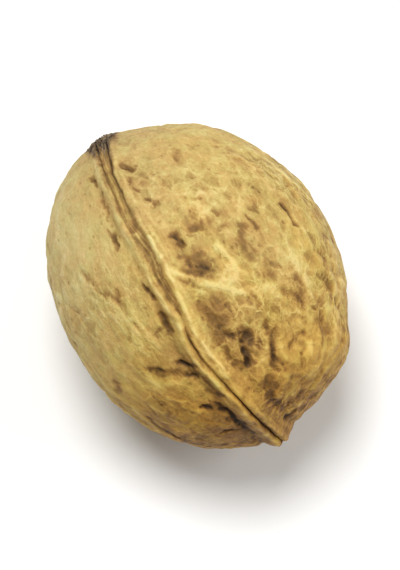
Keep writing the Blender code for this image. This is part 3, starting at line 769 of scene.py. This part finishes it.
def place_masks(bare, along):
    """Masks of whole parts of the nut, and of the broad places."""
    masks = {"along": along, "rub_and_painted_light": broad_mask(bare, RUBS_AND_PAINTED_LIGHT), "soak": broad_mask(bare, SOAKED)}
    masks["lean"] = smooth_step(*LEAN_SIDE, -bare[:, 1])
    masks["full"] = smooth_step(*FULL_SIDE, bare[:, 1])
    masks["tip"] = bell(np.hypot(bare[:, 1], bare[:, 2]), TIP_STAIN) * (along > 0.5)
    return masks


def shell_surface(along, around):
    """Points of the smooth and the finished nut in its own axes, and every mask by name."""
    bare = bare_form(along, around)
    masks = place_masks(bare, along)
    seam, seam_masks = seam_relief(bare, along)
    wrinkles, wrinkle_masks = wrinkle_relief(bare)
    marks, masks["stain"] = mark_relief(bare)
    loop, masks["loop"], loop_area = loop_relief(bare)
    lines, masks["line"] = line_relief(bare)
    veins, masks["vein"] = vein_relief(bare)
    scar, masks["scar"] = scar_relief(bare, along)
    skin, masks["pinhole"] = skin_relief(bare)
    loop_share = 1 - LOOP_CALM * loop_area
    masks.update(seam_masks)
    masks.update({name: value * loop_share for name, value in wrinkle_masks.items()})
    skin = skin * (1 - STRIP_CALM * masks["strip"])
    relief = seam + wrinkles * loop_share + marks + loop + lines + veins + scar + skin
    return bare, bare + outward(bare) * relief[:, None], masks


# %% Laying the nut where the solid lies
STEM_UP, SEAM_LEAN = radians(4.0), radians(15.5)


def lying_turn():
    """The turn from the nut's own axes to the way it lies: seam leaning, stem end a little up."""
    return np.array(Matrix.Rotation(STEM_UP, 3, "Y") @ Matrix.Rotation(SEAM_LEAN, 3, "X"))


def shift_onto_solid(lying):
    """The move that lays the turned nut exactly where the solid lies."""
    low, high = lying.min(axis=0), lying.max(axis=0)
    middle = (np.array(cad_low) + np.array(cad_high)) / 2
    return np.array([*(middle - (low + high) / 2)[:2], cad_high[2] - high[2]])


def keep_value(mesh, name, values):
    """Stores one number for each point of the mesh under a name that a material can read."""
    numbers = values.astype(np.float32)
    mesh.attributes.new(name, "FLOAT", "POINT").data.foreach_set("value", numbers)


def keep_place(mesh, places):
    """Stores one place in mm for each point of the mesh, for the noises of its material."""
    data = mesh.attributes.new("place", "FLOAT_VECTOR", "POINT").data
    data.foreach_set("vector", (places / MM).astype(np.float32).ravel())


def new_piece(name, shape):
    """Turns a bmesh into a smooth shaded object that is part of the scene."""
    bmesh.ops.recalc_face_normals(shape, faces=shape.faces)
    mesh = bpy.data.meshes.new(name)
    shape.to_mesh(mesh)
    shape.free()
    mesh.shade_smooth()
    piece = bpy.data.objects.new(name, mesh)
    bpy.context.scene.collection.objects.link(piece)
    return piece


print("the seam leans", round(np.degrees(SEAM_LEAN), 1), "degrees")

# %% Make the shell
SEGMENTS, RINGS = 440, 224
SEAM_CROWDING = 0.45


def make_shell():
    """The shell, and how far it was moved to lie where the solid lies."""
    ball_mesh = bmesh.new()
    bmesh.ops.create_uvsphere(ball_mesh, u_segments=SEGMENTS, v_segments=RINGS, radius=1.0)
    ball = np.array([v.co for v in ball_mesh.verts])
    along = (1 - ball[:, 2]) / 2
    angle = np.arctan2(ball[:, 1], ball[:, 0])
    around = angle - SEAM_CROWDING * np.sin(2 * angle) / 2
    bare, nut, masks = shell_surface(along, around)
    lying = nut @ lying_turn().T
    shift = shift_onto_solid(lying)
    lying = lying + shift
    lying[:, 2] = np.maximum(lying[:, 2], 0.0)
    for vertex, point in zip(ball_mesh.verts, lying):
        vertex.co = point
    shell = new_piece("walnut_shell", ball_mesh)
    for name, values in masks.items():
        keep_value(shell.data, name, values)
    keep_place(shell.data, bare)
    return shell, shift


shell, shift = make_shell()
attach(shell, "root")
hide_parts("walnut")
print("shell:", len(shell.data.polygons), "faces")

# %% [markdown]
# ## Threads of the dried husk
#
# Where the stem broke off, threads of husk stay behind in the scar and dry dark. They could be
# painted on, but at this size each is a real strand that catches the light. Each is a thin tapered
# tube on a path over the shell: it starts in the scar, follows the grain up the strip, and lifts a
# little at its end.

# %% Paths of the threads
SHORT_THREADS, LONG_THREADS, PATH_SEED = 34, 9, 11
THREAD_STEPS, THREAD_SIDES = 9, 6
SHARE = np.linspace(0, 1, THREAD_STEPS)
LEAST_LIFT, LONG_LIFT = 0.04, 0.03 * MM


def short_thread(draw):
    """A thread in the scar: its places along and around the nut in radians, and its lift."""
    start, run = draw.uniform(0.0005, 0.012), draw.uniform(0.008, 0.040)
    side = radians(max(-32, min(44, draw.gauss(6, 24))))
    bend = radians(draw.uniform(-9, 9)) * np.sin(draw.uniform(2, 5) * SHARE)
    around = side * (1 - 0.55 * SHARE) + bend
    return start + run * SHARE, around, MM * (draw.uniform(0.02, 0.30) * SHARE**2 + LEAST_LIFT)


def long_thread(draw):
    """A thread that lies along the fibrous strip."""
    along = draw.uniform(0.001, 0.02) + draw.uniform(0.045, 0.105) * SHARE
    across = draw.uniform(-0.95, 0.95)
    across = across + draw.uniform(-0.25, 0.25) * np.sin(draw.uniform(2, 6) * SHARE)
    height = SEAM_HALF * 2 * np.sqrt(along * (1 - along))
    around = (seam_line(along, 1.0) + MM * across) / height
    return along, around, np.full(THREAD_STEPS, LONG_LIFT)


def thread_paths():
    """Along, around and lift of every thread, one row a thread."""
    draw = random.Random(PATH_SEED)
    paths = [short_thread(draw) for _ in range(SHORT_THREADS)]
    paths = paths + [long_thread(draw) for _ in range(LONG_THREADS)]
    return [np.stack(column) for column in zip(*paths)]


print("threads:", SHORT_THREADS, "short,", LONG_THREADS, "long")

# %% Make the threads
# Radii in mm at the foot of a thread, and what is lost of them towards its end.
THICKNESS_SEED, THINNEST, THICKEST = 12, 0.07, 0.16
TAPER, FLATNESS = 0.85, 0.7


def add_tube(shape, points, outs, thick):
    """Adds a closed tapered tube along the points, a little flattened against the shell."""
    sideways = np.cross(np.gradient(points, axis=0), outs)
    sideways /= np.linalg.norm(sideways, axis=1, keepdims=True)
    angles = [tau * side / THREAD_SIDES for side in range(THREAD_SIDES)]
    rings = []
    for share, point, across, out in zip(SHARE, points, sideways, outs):
        radius = thick * (1 - TAPER * share)
        spokes = [cos(angle) * across + FLATNESS * sin(angle) * out for angle in angles]
        rings.append([shape.verts.new(point + radius * spoke) for spoke in spokes])
    for ring, next_ring in zip(rings, rings[1:]):
        for side in range(THREAD_SIDES):
            other = (side + 1) % THREAD_SIDES
            shape.faces.new((ring[side], ring[other], next_ring[other], next_ring[side]))
    shape.faces.new(rings[0][::-1])
    shape.faces.new(rings[-1])


def make_threads():
    """All the threads as one piece, lying on the finished shell."""
    along, around, lift = thread_paths()
    bare, nut, _ = shell_surface(along.ravel(), around.ravel())
    out = outward(bare)
    turn = lying_turn().T
    path = ((nut + out * lift.ravel()[:, None]) @ turn + shift).reshape(-1, THREAD_STEPS, 3)
    draw = random.Random(THICKNESS_SEED)
    shape = bmesh.new()
    for points, outs in zip(path, (out @ turn).reshape(-1, THREAD_STEPS, 3)):
        add_tube(shape, points, outs, MM * draw.uniform(THINNEST, THICKEST))
    threads = new_piece("husk_threads", shape)
    keep_place(threads.data, np.array([v.co for v in threads.data.vertices]))
    return threads


threads = make_threads()
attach(threads, "root")
print("threads:", len(threads.data.polygons), "faces")

# %% [markdown]
# ## Node groups for the colour of wood
#
# Three effects make the look of dry wood up close: streaks along the grain with soft clouds, a fine
# net of ridges round small dells, and specks. Every finish here uses the streaks, and the shell
# uses the net at two sizes. They could be copied into each finish, but as node groups with named
# inputs and outputs they are made once, and a finish only says how big.

# %% Helpers for nodes
def new_group(name, inputs, outputs):
    """An empty shader group with float or vector inputs and float outputs."""
    group = bpy.data.node_groups.new(name, "ShaderNodeTree")
    for label, kind, value in inputs:
        socket = group.interface.new_socket(label, in_out="INPUT", socket_type=kind)
        if value is not None:
            socket.default_value = value
    for label in outputs:
        group.interface.new_socket(label, in_out="OUTPUT", socket_type="NodeSocketFloat")
    return group, group.nodes.new("NodeGroupInput"), group.nodes.new("NodeGroupOutput")


def add_node(tree, kind, links=(), **settings):
    """A node with its settings, its plain input values and its links in one call."""
    node = tree.nodes.new(kind)
    for key, value in settings.items():
        setattr(node, key, value)
    for socket, source in dict(links).items():
        if isinstance(source, bpy.types.NodeSocket):
            tree.links.new(source, node.inputs[socket])
        else:
            node.inputs[socket].default_value = source
    return node


def math_node(tree, operation, a, b=0.0, clamp=False):
    """One sum with two numbers, each a socket or a plain value."""
    node = add_node(tree, "ShaderNodeMath", {0: a, 1: b}, operation=operation, use_clamp=clamp)
    return node.outputs[0]


def times(tree, a, b):
    """a multiplied by b."""
    return math_node(tree, "MULTIPLY", a, b)


def vector_node(tree, operation, a, b=None):
    """One sum with two vectors."""
    links = {0: a} if b is None else {0: a, 1: b}
    return add_node(tree, "ShaderNodeVectorMath", links, operation=operation)


def weighted(tree, start, *terms):
    """start plus each socket times its weight."""
    total = start
    for socket, weight in terms:
        links = {0: socket, 1: weight, 2: total}
        total = add_node(tree, "ShaderNodeMath", links, operation="MULTIPLY_ADD").outputs[0]
    return total


def ramp(tree, value, low, high):
    """value stretched so that low becomes 0 and high becomes 1, and no further."""
    links = {"Value": value, "From Min": low, "From Max": high}
    node = add_node(tree, "ShaderNodeMapRange", links, interpolation_type="SMOOTHSTEP")
    return node.outputs["Result"]


def noise_node(tree, where, scale, detail, roughness=0.5):
    """Smooth noise from 0 to 1."""
    links = {"Vector": where, "Scale": scale, "Detail": detail, "Roughness": roughness}
    return add_node(tree, "ShaderNodeTexNoise", links)


# %% Streaks
STREAK_SQUEEZE = (0.16, 1, 1)
PLACE_AND_SIZE = [("Place", "NodeSocketVector", None), ("Size", "NodeSocketFloat", 1.0)]


def make_streak_group():
    """Streaks drawn out along the nut, and clouds that are as long as they are wide."""
    group, given, made = new_group("grain streaks", PLACE_AND_SIZE, ["Streak", "Cloud"])
    where = given.outputs["Place"]
    scale = math_node(group, "DIVIDE", 1.0, given.outputs["Size"])
    squeezed = vector_node(group, "MULTIPLY", where, STREAK_SQUEEZE).outputs[0]
    streak = noise_node(group, squeezed, scale, 4.0, 0.6)
    cloud = noise_node(group, where, scale, 5.0, 0.65)
    group.links.new(streak.outputs["Fac"], made.inputs["Streak"])
    group.links.new(cloud.outputs["Fac"], made.inputs["Cloud"])
    return group


streak_group = make_streak_group()
print("group:", streak_group.name, "with", len(streak_group.nodes), "nodes")

# %% Fine net
NET_SQUEEZE, NET_SWAY, RIDGE_WIDTH, DELL_EDGE = (0.7, 1, 1), 1.5, 0.13, (0.02, 0.22)


def make_net_group():
    """Fine winding ridges round small flat cells, each cell with a value of its own."""
    group, given, made = new_group("fine net", PLACE_AND_SIZE, ["Ridge", "Cell"])
    where, size = given.outputs["Place"], given.outputs["Size"]
    scale = math_node(group, "DIVIDE", 1.0, size)
    sway = noise_node(group, where, scale, 3.0).outputs["Color"]
    sway = vector_node(group, "SUBTRACT", sway, (0.5, 0.5, 0.5)).outputs[0]
    reach = vector_node(group, "SCALE", sway)
    group.links.new(times(group, size, NET_SWAY), reach.inputs["Scale"])
    bent = vector_node(group, "ADD", where, reach.outputs[0]).outputs[0]
    bent = vector_node(group, "MULTIPLY", bent, NET_SQUEEZE).outputs[0]
    links = {"Vector": bent, "Scale": scale}
    border = add_node(group, "ShaderNodeTexVoronoi", links, feature="DISTANCE_TO_EDGE")
    border = border.outputs["Distance"]
    cells = add_node(group, "ShaderNodeTexVoronoi", links).outputs["Color"]
    value = add_node(group, "ShaderNodeSeparateColor", {0: cells}).outputs[0]
    group.links.new(ramp(group, border, RIDGE_WIDTH, 0.0), made.inputs["Ridge"])
    group.links.new(times(group, value, ramp(group, border, *DELL_EDGE)), made.inputs["Cell"])
    return group


net_group = make_net_group()
print("group:", net_group.name, "with", len(net_group.nodes), "nodes")

# %% Specks
SPECK_SQUEEZE, SPECK_RIM, SPECK_HEART = (0.6, 1, 1), 0.42, 0.18


def make_speck_group():
    """Small dots in some of the cells. Share says in how many."""
    inputs = PLACE_AND_SIZE + [("Share", "NodeSocketFloat", 0.3)]
    group, given, made = new_group("specks", inputs, ["Speck"])
    scale = math_node(group, "DIVIDE", 1.0, given.outputs["Size"])
    squeezed = vector_node(group, "MULTIPLY", given.outputs["Place"], SPECK_SQUEEZE).outputs[0]
    cells = add_node(group, "ShaderNodeTexVoronoi", {"Vector": squeezed, "Scale": scale})
    chosen = add_node(group, "ShaderNodeSeparateColor", {0: cells.outputs["Color"]})
    some = math_node(group, "LESS_THAN", chosen.outputs[0], given.outputs["Share"])
    dot = ramp(group, cells.outputs["Distance"], SPECK_RIM, SPECK_HEART)
    group.links.new(times(group, some, dot), made.inputs["Speck"])
    return group


speck_group = make_speck_group()
print("group:", speck_group.name, "with", len(speck_group.nodes), "nodes")

# %% [markdown]
# ## The shell's finish
#
# Dry walnut shell is matt wood. Its tan ground shifts between a cooler, paler cheek and a warmer
# one. On top lie, in this order: brown stain in the hollows, pale rubbed ridges, the fibrous strip,
# and the near-black of the split and the scar. Some light and shade is painted in too: towards the
# tip and the leaner side the colour is darker and browner, partly for the wood and partly as
# painted shade, and the leaner cheek near the stem, the leaner lip and a few broad places are
# lightened as painted light. It could be mixed layer over layer in colour. Here every layer darkens
# or lightens one tone, and one scale of browns turns the tone into colour, as in the real shell,
# where it is all the same wood and the same juice. Every layer is a mask from the mesh, roughened
# by noise finer than the mesh, so that no edge is a smooth blur.

# %% Helpers for finishes
def new_material(name):
    """A material with its node tree and the one shader in it."""
    material = bpy.data.materials.new(name)
    material.use_nodes = True
    return material, material.node_tree, material.node_tree.nodes["Principled BSDF"]


def attribute(tree, name, output="Fac"):
    """What the mesh keeps under a name."""
    return add_node(tree, "ShaderNodeAttribute", attribute_name=name).outputs[output]


def group_node(tree, group, **values):
    """The outputs of a group with its own place and sizes."""
    return add_node(tree, "ShaderNodeGroup", values, node_tree=group).outputs


def centred(tree, socket):
    """A noise from 0 to 1 turned into one from about -1 to 1."""
    return weighted(tree, -1.0, (socket, 2.0))


def blend_colour(tree, share, colour_a, colour_b, way="MIX"):
    """colour_a with a share of colour_b in it."""
    links = {0: share, 6: colour_a, 7: colour_b}
    return add_node(tree, "ShaderNodeMix", links, data_type="RGBA", blend_type=way).outputs[2]


def set_roughness(tree, shader, value, low, high):
    """Roughness from low to high as value goes from 0 to 1."""
    links = {"Value": value, "To Min": low, "To Max": high}
    rough = add_node(tree, "ShaderNodeMapRange", links)
    tree.links.new(rough.outputs["Result"], shader.inputs["Roughness"])


def set_bump(tree, shader, height, distance, strength):
    """Shades a height that the mesh doesn't have."""
    links = {"Height": height, "Distance": distance, "Strength": strength}
    bump = add_node(tree, "ShaderNodeBump", links)
    tree.links.new(bump.outputs["Normal"], shader.inputs["Normal"])


# %% Shell colours
# From the darkest stain to the palest ridge: a tone from 0 to 1, and its colour.
TONES = (
    (0.00, (0.034, 0.018, 0.006)),
    (0.20, (0.110, 0.062, 0.020)),
    (0.42, (0.248, 0.144, 0.046)),
    (0.62, (0.415, 0.280, 0.096)),
    (0.80, (0.535, 0.400, 0.152)),
    (1.00, (0.650, 0.528, 0.250)),
)
# The brown tint goes on towards the tip and the leaner side: partly browner wood, partly painted
# shade of the nut's lower side.
WARM_TINT, FOOT_BROWN_AND_SHADE_TINT, COOL_TINT = (1.0, 0.92, 0.60, 1), (1.0, 0.86, 0.55, 1), (0.97, 1.0, 1.06, 1)
RUDDY_TINT, GREEN_TINT = (1.035, 0.97, 0.925, 1), (0.985, 1.02, 0.95, 1)


def tone_ramp(tree, tone):
    """Turns a tone into its colour on the scale of browns."""
    node = add_node(tree, "ShaderNodeValToRGB", {0: tone})
    points = node.color_ramp.elements
    while len(points) < len(TONES):
        points.new(0.5)
    for point, (position, colour) in zip(points, TONES):
        point.position, point.color = position, (*colour, 1)
    return node.outputs["Color"]


print("scale of browns:", len(TONES), "steps")

# %% Noises of the shell
# Sizes in mm of the noises that are finer than the mesh or not tied to its shape.
NOISE_SIZES = {"broad": 5.0, "patch": 2.4, "middle": 1.1, "fine": 0.35}
SPECK_SIZE, SPECK_SHARE = 0.55, 0.14
COARSE_NET, FINE_NET = 1.7, 0.8


def shell_noises(tree, where):
    """The noises by name, from about -1 to 1."""
    noises = {}
    for name, size in NOISE_SIZES.items():
        group = group_node(tree, streak_group, Place=where, Size=size)
        noises[name + " cloud"] = centred(tree, group["Cloud"])
        noises[name + " streak"] = centred(tree, group["Streak"])
    rags = (noises["middle cloud"], 0.9), (noises["fine cloud"], 0.7)
    noises["rags"] = weighted(tree, 0.0, *rags)
    return noises


def net_layers(tree, where, noises):
    """Fine ridges in patches, and the small dells between them."""
    coarse = group_node(tree, net_group, Place=where, Size=COARSE_NET)
    fine = group_node(tree, net_group, Place=where, Size=FINE_NET)
    ridges = weighted(tree, 0.0, (coarse["Ridge"], 0.75), (fine["Ridge"], 0.32))
    patchy = weighted(tree, noises["middle cloud"], (noises["fine cloud"], 0.5))
    dells = weighted(tree, 0.0, (coarse["Cell"], 0.7), (fine["Cell"], 0.32))
    return times(tree, ridges, ramp(tree, patchy, -0.5, 0.5)), dells


def less_than_all(tree, share):
    """1 minus a share."""
    return math_node(tree, "SUBTRACT", 1.0, share)


def net_share(tree, masks):
    """Where the fine net shows: on the cheeks, away from the stem, and not on the stains."""
    share = times(tree, masks["calm"], less_than_all(tree, masks["rim"]))
    from_stem = ramp(tree, masks["along"], 0.12, 0.42)
    share = times(tree, share, weighted(tree, 0.45, (from_stem, 0.55)))
    clean = weighted(tree, 1.0, (masks["stain"], -0.75))
    return math_node(tree, "MULTIPLY", share, clean, clamp=True)


print("noises, in mm:", NOISE_SIZES)

# %% Hollows, stains and worn ridges
def hollow_layer(tree, masks, rags):
    """Darker in the low places: the floors of the net, the valleys, the furrows, the pinholes."""
    low = weighted(tree, 0.0, (masks["cell"], 0.70), (masks["valley"], 0.45))
    low = times(tree, low, masks["calm"])
    low = weighted(tree, low, (masks["furrow"], 0.55), (masks["pinhole"], 0.20), (rags, 0.35))
    return ramp(tree, low, 0.05, 0.9)


def stain_layer(tree, masks, rags, ridges):
    """The marks, with ragged edges, and fine ridges that stand out of them."""
    stain = times(tree, masks["stain"], weighted(tree, 0.95, (rags, 0.7)))
    edge = weighted(tree, stain, (rags, 0.25), (ridges, -0.30))
    return times(tree, stain, ramp(tree, edge, 0.04, 0.42))


def worn_layer(tree, masks, rags):
    """What handling has rubbed pale: the net, the borders of its cells, the veins, the lips.

    The leaner lip is lightened further as painted light.
    """
    high = weighted(tree, 0.0, (masks["net"], 0.5), (masks["border"], 0.55), (rags, -0.3))
    high = times(tree, ramp(tree, high, 0.15, 1.0), masks["calm"])
    return weighted(tree, high, (masks["vein"], 1.0), (masks["lip"], 0.95))


# %% Tone of the shell
# How much each mask and each noise darkens (-) or lightens (+) the tone.
GROUND_TONE = 0.705
MASK_TONES = {
    "lean": 0.04, "full": 0.02, "soak": -0.18, "rub_and_painted_light": 0.30, "loop": 0.12, "line": 0.30,
    "strip": -0.06, "band": -0.17, "groove": -0.22, "fibre": 0.09, "thread": 0.30,
}
NOISE_TONES = {
    "broad cloud": 0.14, "middle streak": 0.14, "fine cloud": 0.16, "fine streak": 0.10,
}


def shell_tone(tree, masks, noises, layers):
    """All the layers in one tone, from 0 to 1, before the split and the scar."""
    lean, along, calm = masks["lean"], masks["along"], masks["calm"]
    mottle, rags = noises["middle cloud"], noises["rags"]
    stem_lean_pale_and_lit = times(tree, lean, ramp(tree, along, 0.6, 0.1))
    tip_lean = times(tree, lean, ramp(tree, along, 0.45, 0.75))
    torn = times(tree, masks["torn"], weighted(tree, 1.0, (rags, 0.8)))
    return weighted(
        tree,
        GROUND_TONE,
        *[(masks[name], weight) for name, weight in MASK_TONES.items()],
        *[(noises[name], weight) for name, weight in NOISE_TONES.items()],
        (layers["hollow"], -0.26),
        (layers["stain"], -0.51),
        (layers["worn"], 0.27),
        # Darker towards the tip and the leaner side: partly browner wood, partly painted shade.
        (layers["foot_brown_and_shade"], -0.15),
        (layers["specks"], -0.12),
        (times(tree, layers["ridges"], layers["net share"]), 0.28),
        (times(tree, layers["dells"], layers["net share"]), -0.32),
        (times(tree, mottle, calm), 0.22),
        (times(tree, mottle, masks["rim"]), 0.16),
        (times(tree, noises["patch streak"], tip_lean), 0.45),
        (ramp(tree, along, 0.40, 1.0), -0.05),
        # Painted light over the paler wood of the leaner cheek: its edge near the stem is lightened
        # where the lamps leave it dim.
        (stem_lean_pale_and_lit, 0.09),
        (torn, -0.34),
    )


def gap_layer(tree, masks, noises):
    """The near-black of the split, the scar and the very tip."""
    gap = weighted(tree, masks["split"], (masks["scar"], 0.9), (masks["tip"], 0.8))
    gap = weighted(tree, gap, (noises["fine cloud"], 0.25), (noises["middle cloud"], 0.25))
    return ramp(tree, gap, 0.25, 1.1)


print("masks in the tone:", ", ".join(MASK_TONES))

# %% Tints of the shell
def tinted(tree, colour, masks, noises, layers):
    """The colour warmer towards the tip, browner at its foot, and cooler on the leaner side.

    The foot lies towards the tip and the leaner side, and its brown is partly the wood and partly
    painted shade.
    """
    lean, along = masks["lean"], masks["along"]
    warm = ramp(tree, weighted(tree, along, (noises["broad streak"], 0.5)), 0.20, 0.95)
    for name, least in (("strip", 0.25), ("full", 0.35)):
        warm = math_node(tree, "MAXIMUM", warm, times(tree, masks[name], least))
    ruddy = times(tree, ramp(tree, along, 0.55, 0.80), less_than_all(tree, lean))
    hue = weighted(tree, 0.5, (noises["patch cloud"], 0.5), (noises["middle cloud"], 0.10))
    hue = weighted(tree, hue, (layers["stain"], -0.10), (ruddy, -0.08))
    hue = blend_colour(tree, ramp(tree, hue, 0.38, 0.60), RUDDY_TINT, GREEN_TINT)
    cool = times(tree, lean, ramp(tree, along, 0.75, 0.1))
    tints = (warm, WARM_TINT), (layers["foot_brown_and_shade"], FOOT_BROWN_AND_SHADE_TINT), (1.0, hue), (cool, COOL_TINT)
    for share, tint in tints:
        colour = blend_colour(tree, share, colour, tint, "MULTIPLY")
    return colour


# %% Shell material
WORN_ROUGHNESS, SHELL_ROUGHNESS, SHELL_SHINE = 0.5, 0.66, 0.22
SHELL_BUMP, SHELL_BUMP_STRENGTH = 0.10 * MM, 0.9
GAP_DARKNESS = -0.46


def shell_layers(tree, where, masks, noises):
    """Every layer of the finish by name."""
    ridges, dells = net_layers(tree, where, noises)
    # The foot, towards the tip and the leaner side, is browner wood and painted shade together.
    foot_brown_and_shade = weighted(tree, masks["along"], (masks["lean"], 0.20))
    specks = group_node(tree, speck_group, Place=where, Size=SPECK_SIZE, Share=SPECK_SHARE)
    return {
        "ridges": ridges,
        "dells": dells,
        "net share": net_share(tree, masks),
        "hollow": hollow_layer(tree, masks, noises["rags"]),
        "stain": stain_layer(tree, masks, noises["rags"], ridges),
        "worn": worn_layer(tree, masks, noises["rags"]),
        "foot_brown_and_shade": ramp(tree, foot_brown_and_shade, 0.72, 1.12),
        "specks": specks["Speck"],
    }


def make_shell_material():
    """Dry matt wood: one tone from all the layers, tinted, with a bump for what is finest."""
    material, tree, shader = new_material("walnut shell")
    kept = [data.name for data in shell.data.attributes if data.data_type == "FLOAT"]
    masks = {name: attribute(tree, name) for name in kept}
    where = attribute(tree, "place", "Vector")
    noises = shell_noises(tree, where)
    layers = shell_layers(tree, where, masks, noises)
    tone = shell_tone(tree, masks, noises, layers)
    tone = weighted(tree, tone, (gap_layer(tree, masks, noises), GAP_DARKNESS))
    colour = tinted(tree, tone_ramp(tree, tone), masks, noises, layers)
    tree.links.new(colour, shader.inputs["Base Color"])
    set_roughness(tree, shader, layers["worn"], SHELL_ROUGHNESS, WORN_ROUGHNESS)
    shader.inputs["Specular IOR Level"].default_value = SHELL_SHINE
    # What is finer than the mesh: fibre lines, grain and the fine net
    net = weighted(tree, layers["ridges"], (layers["dells"], -1.0))
    net = times(tree, net, layers["net share"])
    height = weighted(tree, 0.0, (noises["middle cloud"], 0.8), (noises["fine streak"], 0.6))
    height = weighted(tree, height, (noises["fine cloud"], 0.5), (layers["specks"], -0.6))
    set_bump(tree, shader, weighted(tree, height, (net, 0.9)), SHELL_BUMP, SHELL_BUMP_STRENGTH)
    return material


shell_material = make_shell_material()
shell.data.materials.append(shell_material)
print("shell's finish:", len(shell_material.node_tree.nodes), "nodes")

# %% [markdown]
# ## The threads' finish
#
# The dried husk is dark brown, and paler where a strand has frayed. One brown would do at this
# size, but then the tuft would be a flat smudge. So the streak group blends two browns along each
# thread, and again gives it a little grain.

# %% Thread material
THREAD_DARK, THREAD_LIGHT = (0.060, 0.036, 0.016, 1), (0.290, 0.200, 0.098, 1)
FRAYED = (0.38, 0.66)
FRAY_SIZE, THREAD_GRAIN_SIZE = 0.8, 0.15
THREAD_ROUGHNESS, THREAD_BUMP, THREAD_BUMP_STRENGTH = 0.75, 0.04 * MM, 0.7


def make_thread_material():
    """Two browns in patches, with a fine grain."""
    material, tree, shader = new_material("dried husk threads")
    where = attribute(tree, "place", "Vector")
    patchy = group_node(tree, streak_group, Place=where, Size=FRAY_SIZE)
    grain = group_node(tree, streak_group, Place=where, Size=THREAD_GRAIN_SIZE)
    colour = blend_colour(tree, ramp(tree, patchy["Cloud"], *FRAYED), THREAD_DARK, THREAD_LIGHT)
    tree.links.new(colour, shader.inputs["Base Color"])
    shader.inputs["Roughness"].default_value = THREAD_ROUGHNESS
    set_bump(tree, shader, grain["Streak"], THREAD_BUMP, THREAD_BUMP_STRENGTH)
    return material


thread_material = make_thread_material()
threads.data.materials.append(thread_material)
print("threads' finish:", len(thread_material.node_tree.nodes), "nodes")

# %% [markdown]
# ## Floor
#
# The nut is shown on a plain pale table. A pure white sheet would do, but a painted board has faint
# clouds and a fine tooth, which keep its shadow from looking drawn. The same streak group gives
# both, at sizes in metres, because the floor uses its own coordinates.

# %% Floor
FLOOR_PALE, FLOOR_SHADE = (0.87, 0.87, 0.86, 1), (0.845, 0.845, 0.835, 1)
FLOOR_SIZE, CLOUD_SIZE, TOOTH_SIZE = 4.0, 0.05, 0.0008
FLOOR_ROUGHNESS, FLOOR_BUMP, FLOOR_BUMP_STRENGTH = (0.66, 0.76), 0.02 * MM, 0.3


def make_floor_material():
    """Pale painted board: faint clouds in its colour, and a fine tooth."""
    material, tree, shader = new_material("pale table")
    where = add_node(tree, "ShaderNodeTexCoord").outputs["Object"]
    clouds = group_node(tree, streak_group, Place=where, Size=CLOUD_SIZE)["Cloud"]
    tooth = group_node(tree, streak_group, Place=where, Size=TOOTH_SIZE)["Cloud"]
    colour = blend_colour(tree, ramp(tree, clouds, 0.3, 0.7), FLOOR_SHADE, FLOOR_PALE)
    tree.links.new(colour, shader.inputs["Base Color"])
    set_roughness(tree, shader, tooth, *FLOOR_ROUGHNESS)
    set_bump(tree, shader, tooth, FLOOR_BUMP, FLOOR_BUMP_STRENGTH)
    return material


def make_floor():
    """A plane that is large enough for its edge to stay out of the picture."""
    bpy.ops.mesh.primitive_plane_add(size=FLOOR_SIZE)
    floor = bpy.context.object
    floor.name = "floor"
    floor.data.materials.append(make_floor_material())
    return floor


make_floor()
print("floor:", FLOOR_SIZE, "m wide")

# %% [markdown]
# ## Camera
#
# The camera looks steeply down, so that the seam runs from the upper left to the lower right. It
# could be placed by hand in the viewport, but two angles and a distance from the middle of the nut
# are easier to read and to change. It stands well back with a long lens, so that the near side of
# the nut doesn't bulge.

# %% Camera
AZIMUTH, ELEVATION = radians(59.3), radians(75.0)
DISTANCE, LENS, CLIP_START = 0.32, 162.0, 0.01
UP = Vector((0, 0, 1))

picture_up = Vector((-sin(AZIMUTH), cos(AZIMUTH), 0))
picture_right = Vector((cos(AZIMUTH), sin(AZIMUTH), 0))
look = cos(ELEVATION) * picture_up - sin(ELEVATION) * UP
target = (cad_low + cad_high) / 2

camera = bpy.data.objects.new("camera", bpy.data.cameras.new("camera"))
bpy.context.scene.collection.objects.link(camera)
camera.location = target - look * DISTANCE
camera.rotation_euler = look.to_track_quat("-Z", "Y").to_euler()
camera.data.lens, camera.data.clip_start = LENS, CLIP_START
bpy.context.scene.camera = camera
print("camera at", [round(side, 3) for side in camera.location], "m")

# %% [markdown]
# ## Light
#
# Soft studio light comes from above and a little from the top left of the picture. One small lamp
# would leave hard shadows, so the key light is a wide disk straight over the nut, a second disk
# opens the shade on the right, and a pale world fills the rest.

# %% Light
# Each light: its direction as shares of picture right, picture up and straight up, then its
# distance and its width in metres, and its power in watts.
LIGHTS = {"key": ((-0.15, 0.24, 1.0), 0.6, 0.30, 3.6), "side": ((1.0, 0.1, 0.8), 0.8, 0.5, 2.6)}
WORLD_COLOUR, WORLD_STRENGTH = (1.0, 1.0, 1.0, 1), 0.31


def soft_light(name, shares, distance, size, power):
    """A round soft light that shines on the nut from a direction."""
    direction = shares[0] * picture_right + shares[1] * picture_up + shares[2] * UP
    data = bpy.data.lights.new(name, "AREA")
    data.shape, data.size, data.energy = "DISK", size, power
    light = bpy.data.objects.new(name, data)
    bpy.context.scene.collection.objects.link(light)
    light.location = target + direction.normalized() * distance
    light.rotation_euler = (-direction).to_track_quat("-Z", "Y").to_euler()
    print(name, "light:", power, "W")


for name, settings in LIGHTS.items():
    soft_light(name, *settings)

world = bpy.data.worlds.new("studio")
world.use_nodes = True
world.node_tree.nodes["Background"].inputs["Color"].default_value = WORLD_COLOUR
world.node_tree.nodes["Background"].inputs["Strength"].default_value = WORLD_STRENGTH
bpy.context.scene.world = world
bpy.context.scene.view_settings.view_transform = "Standard"
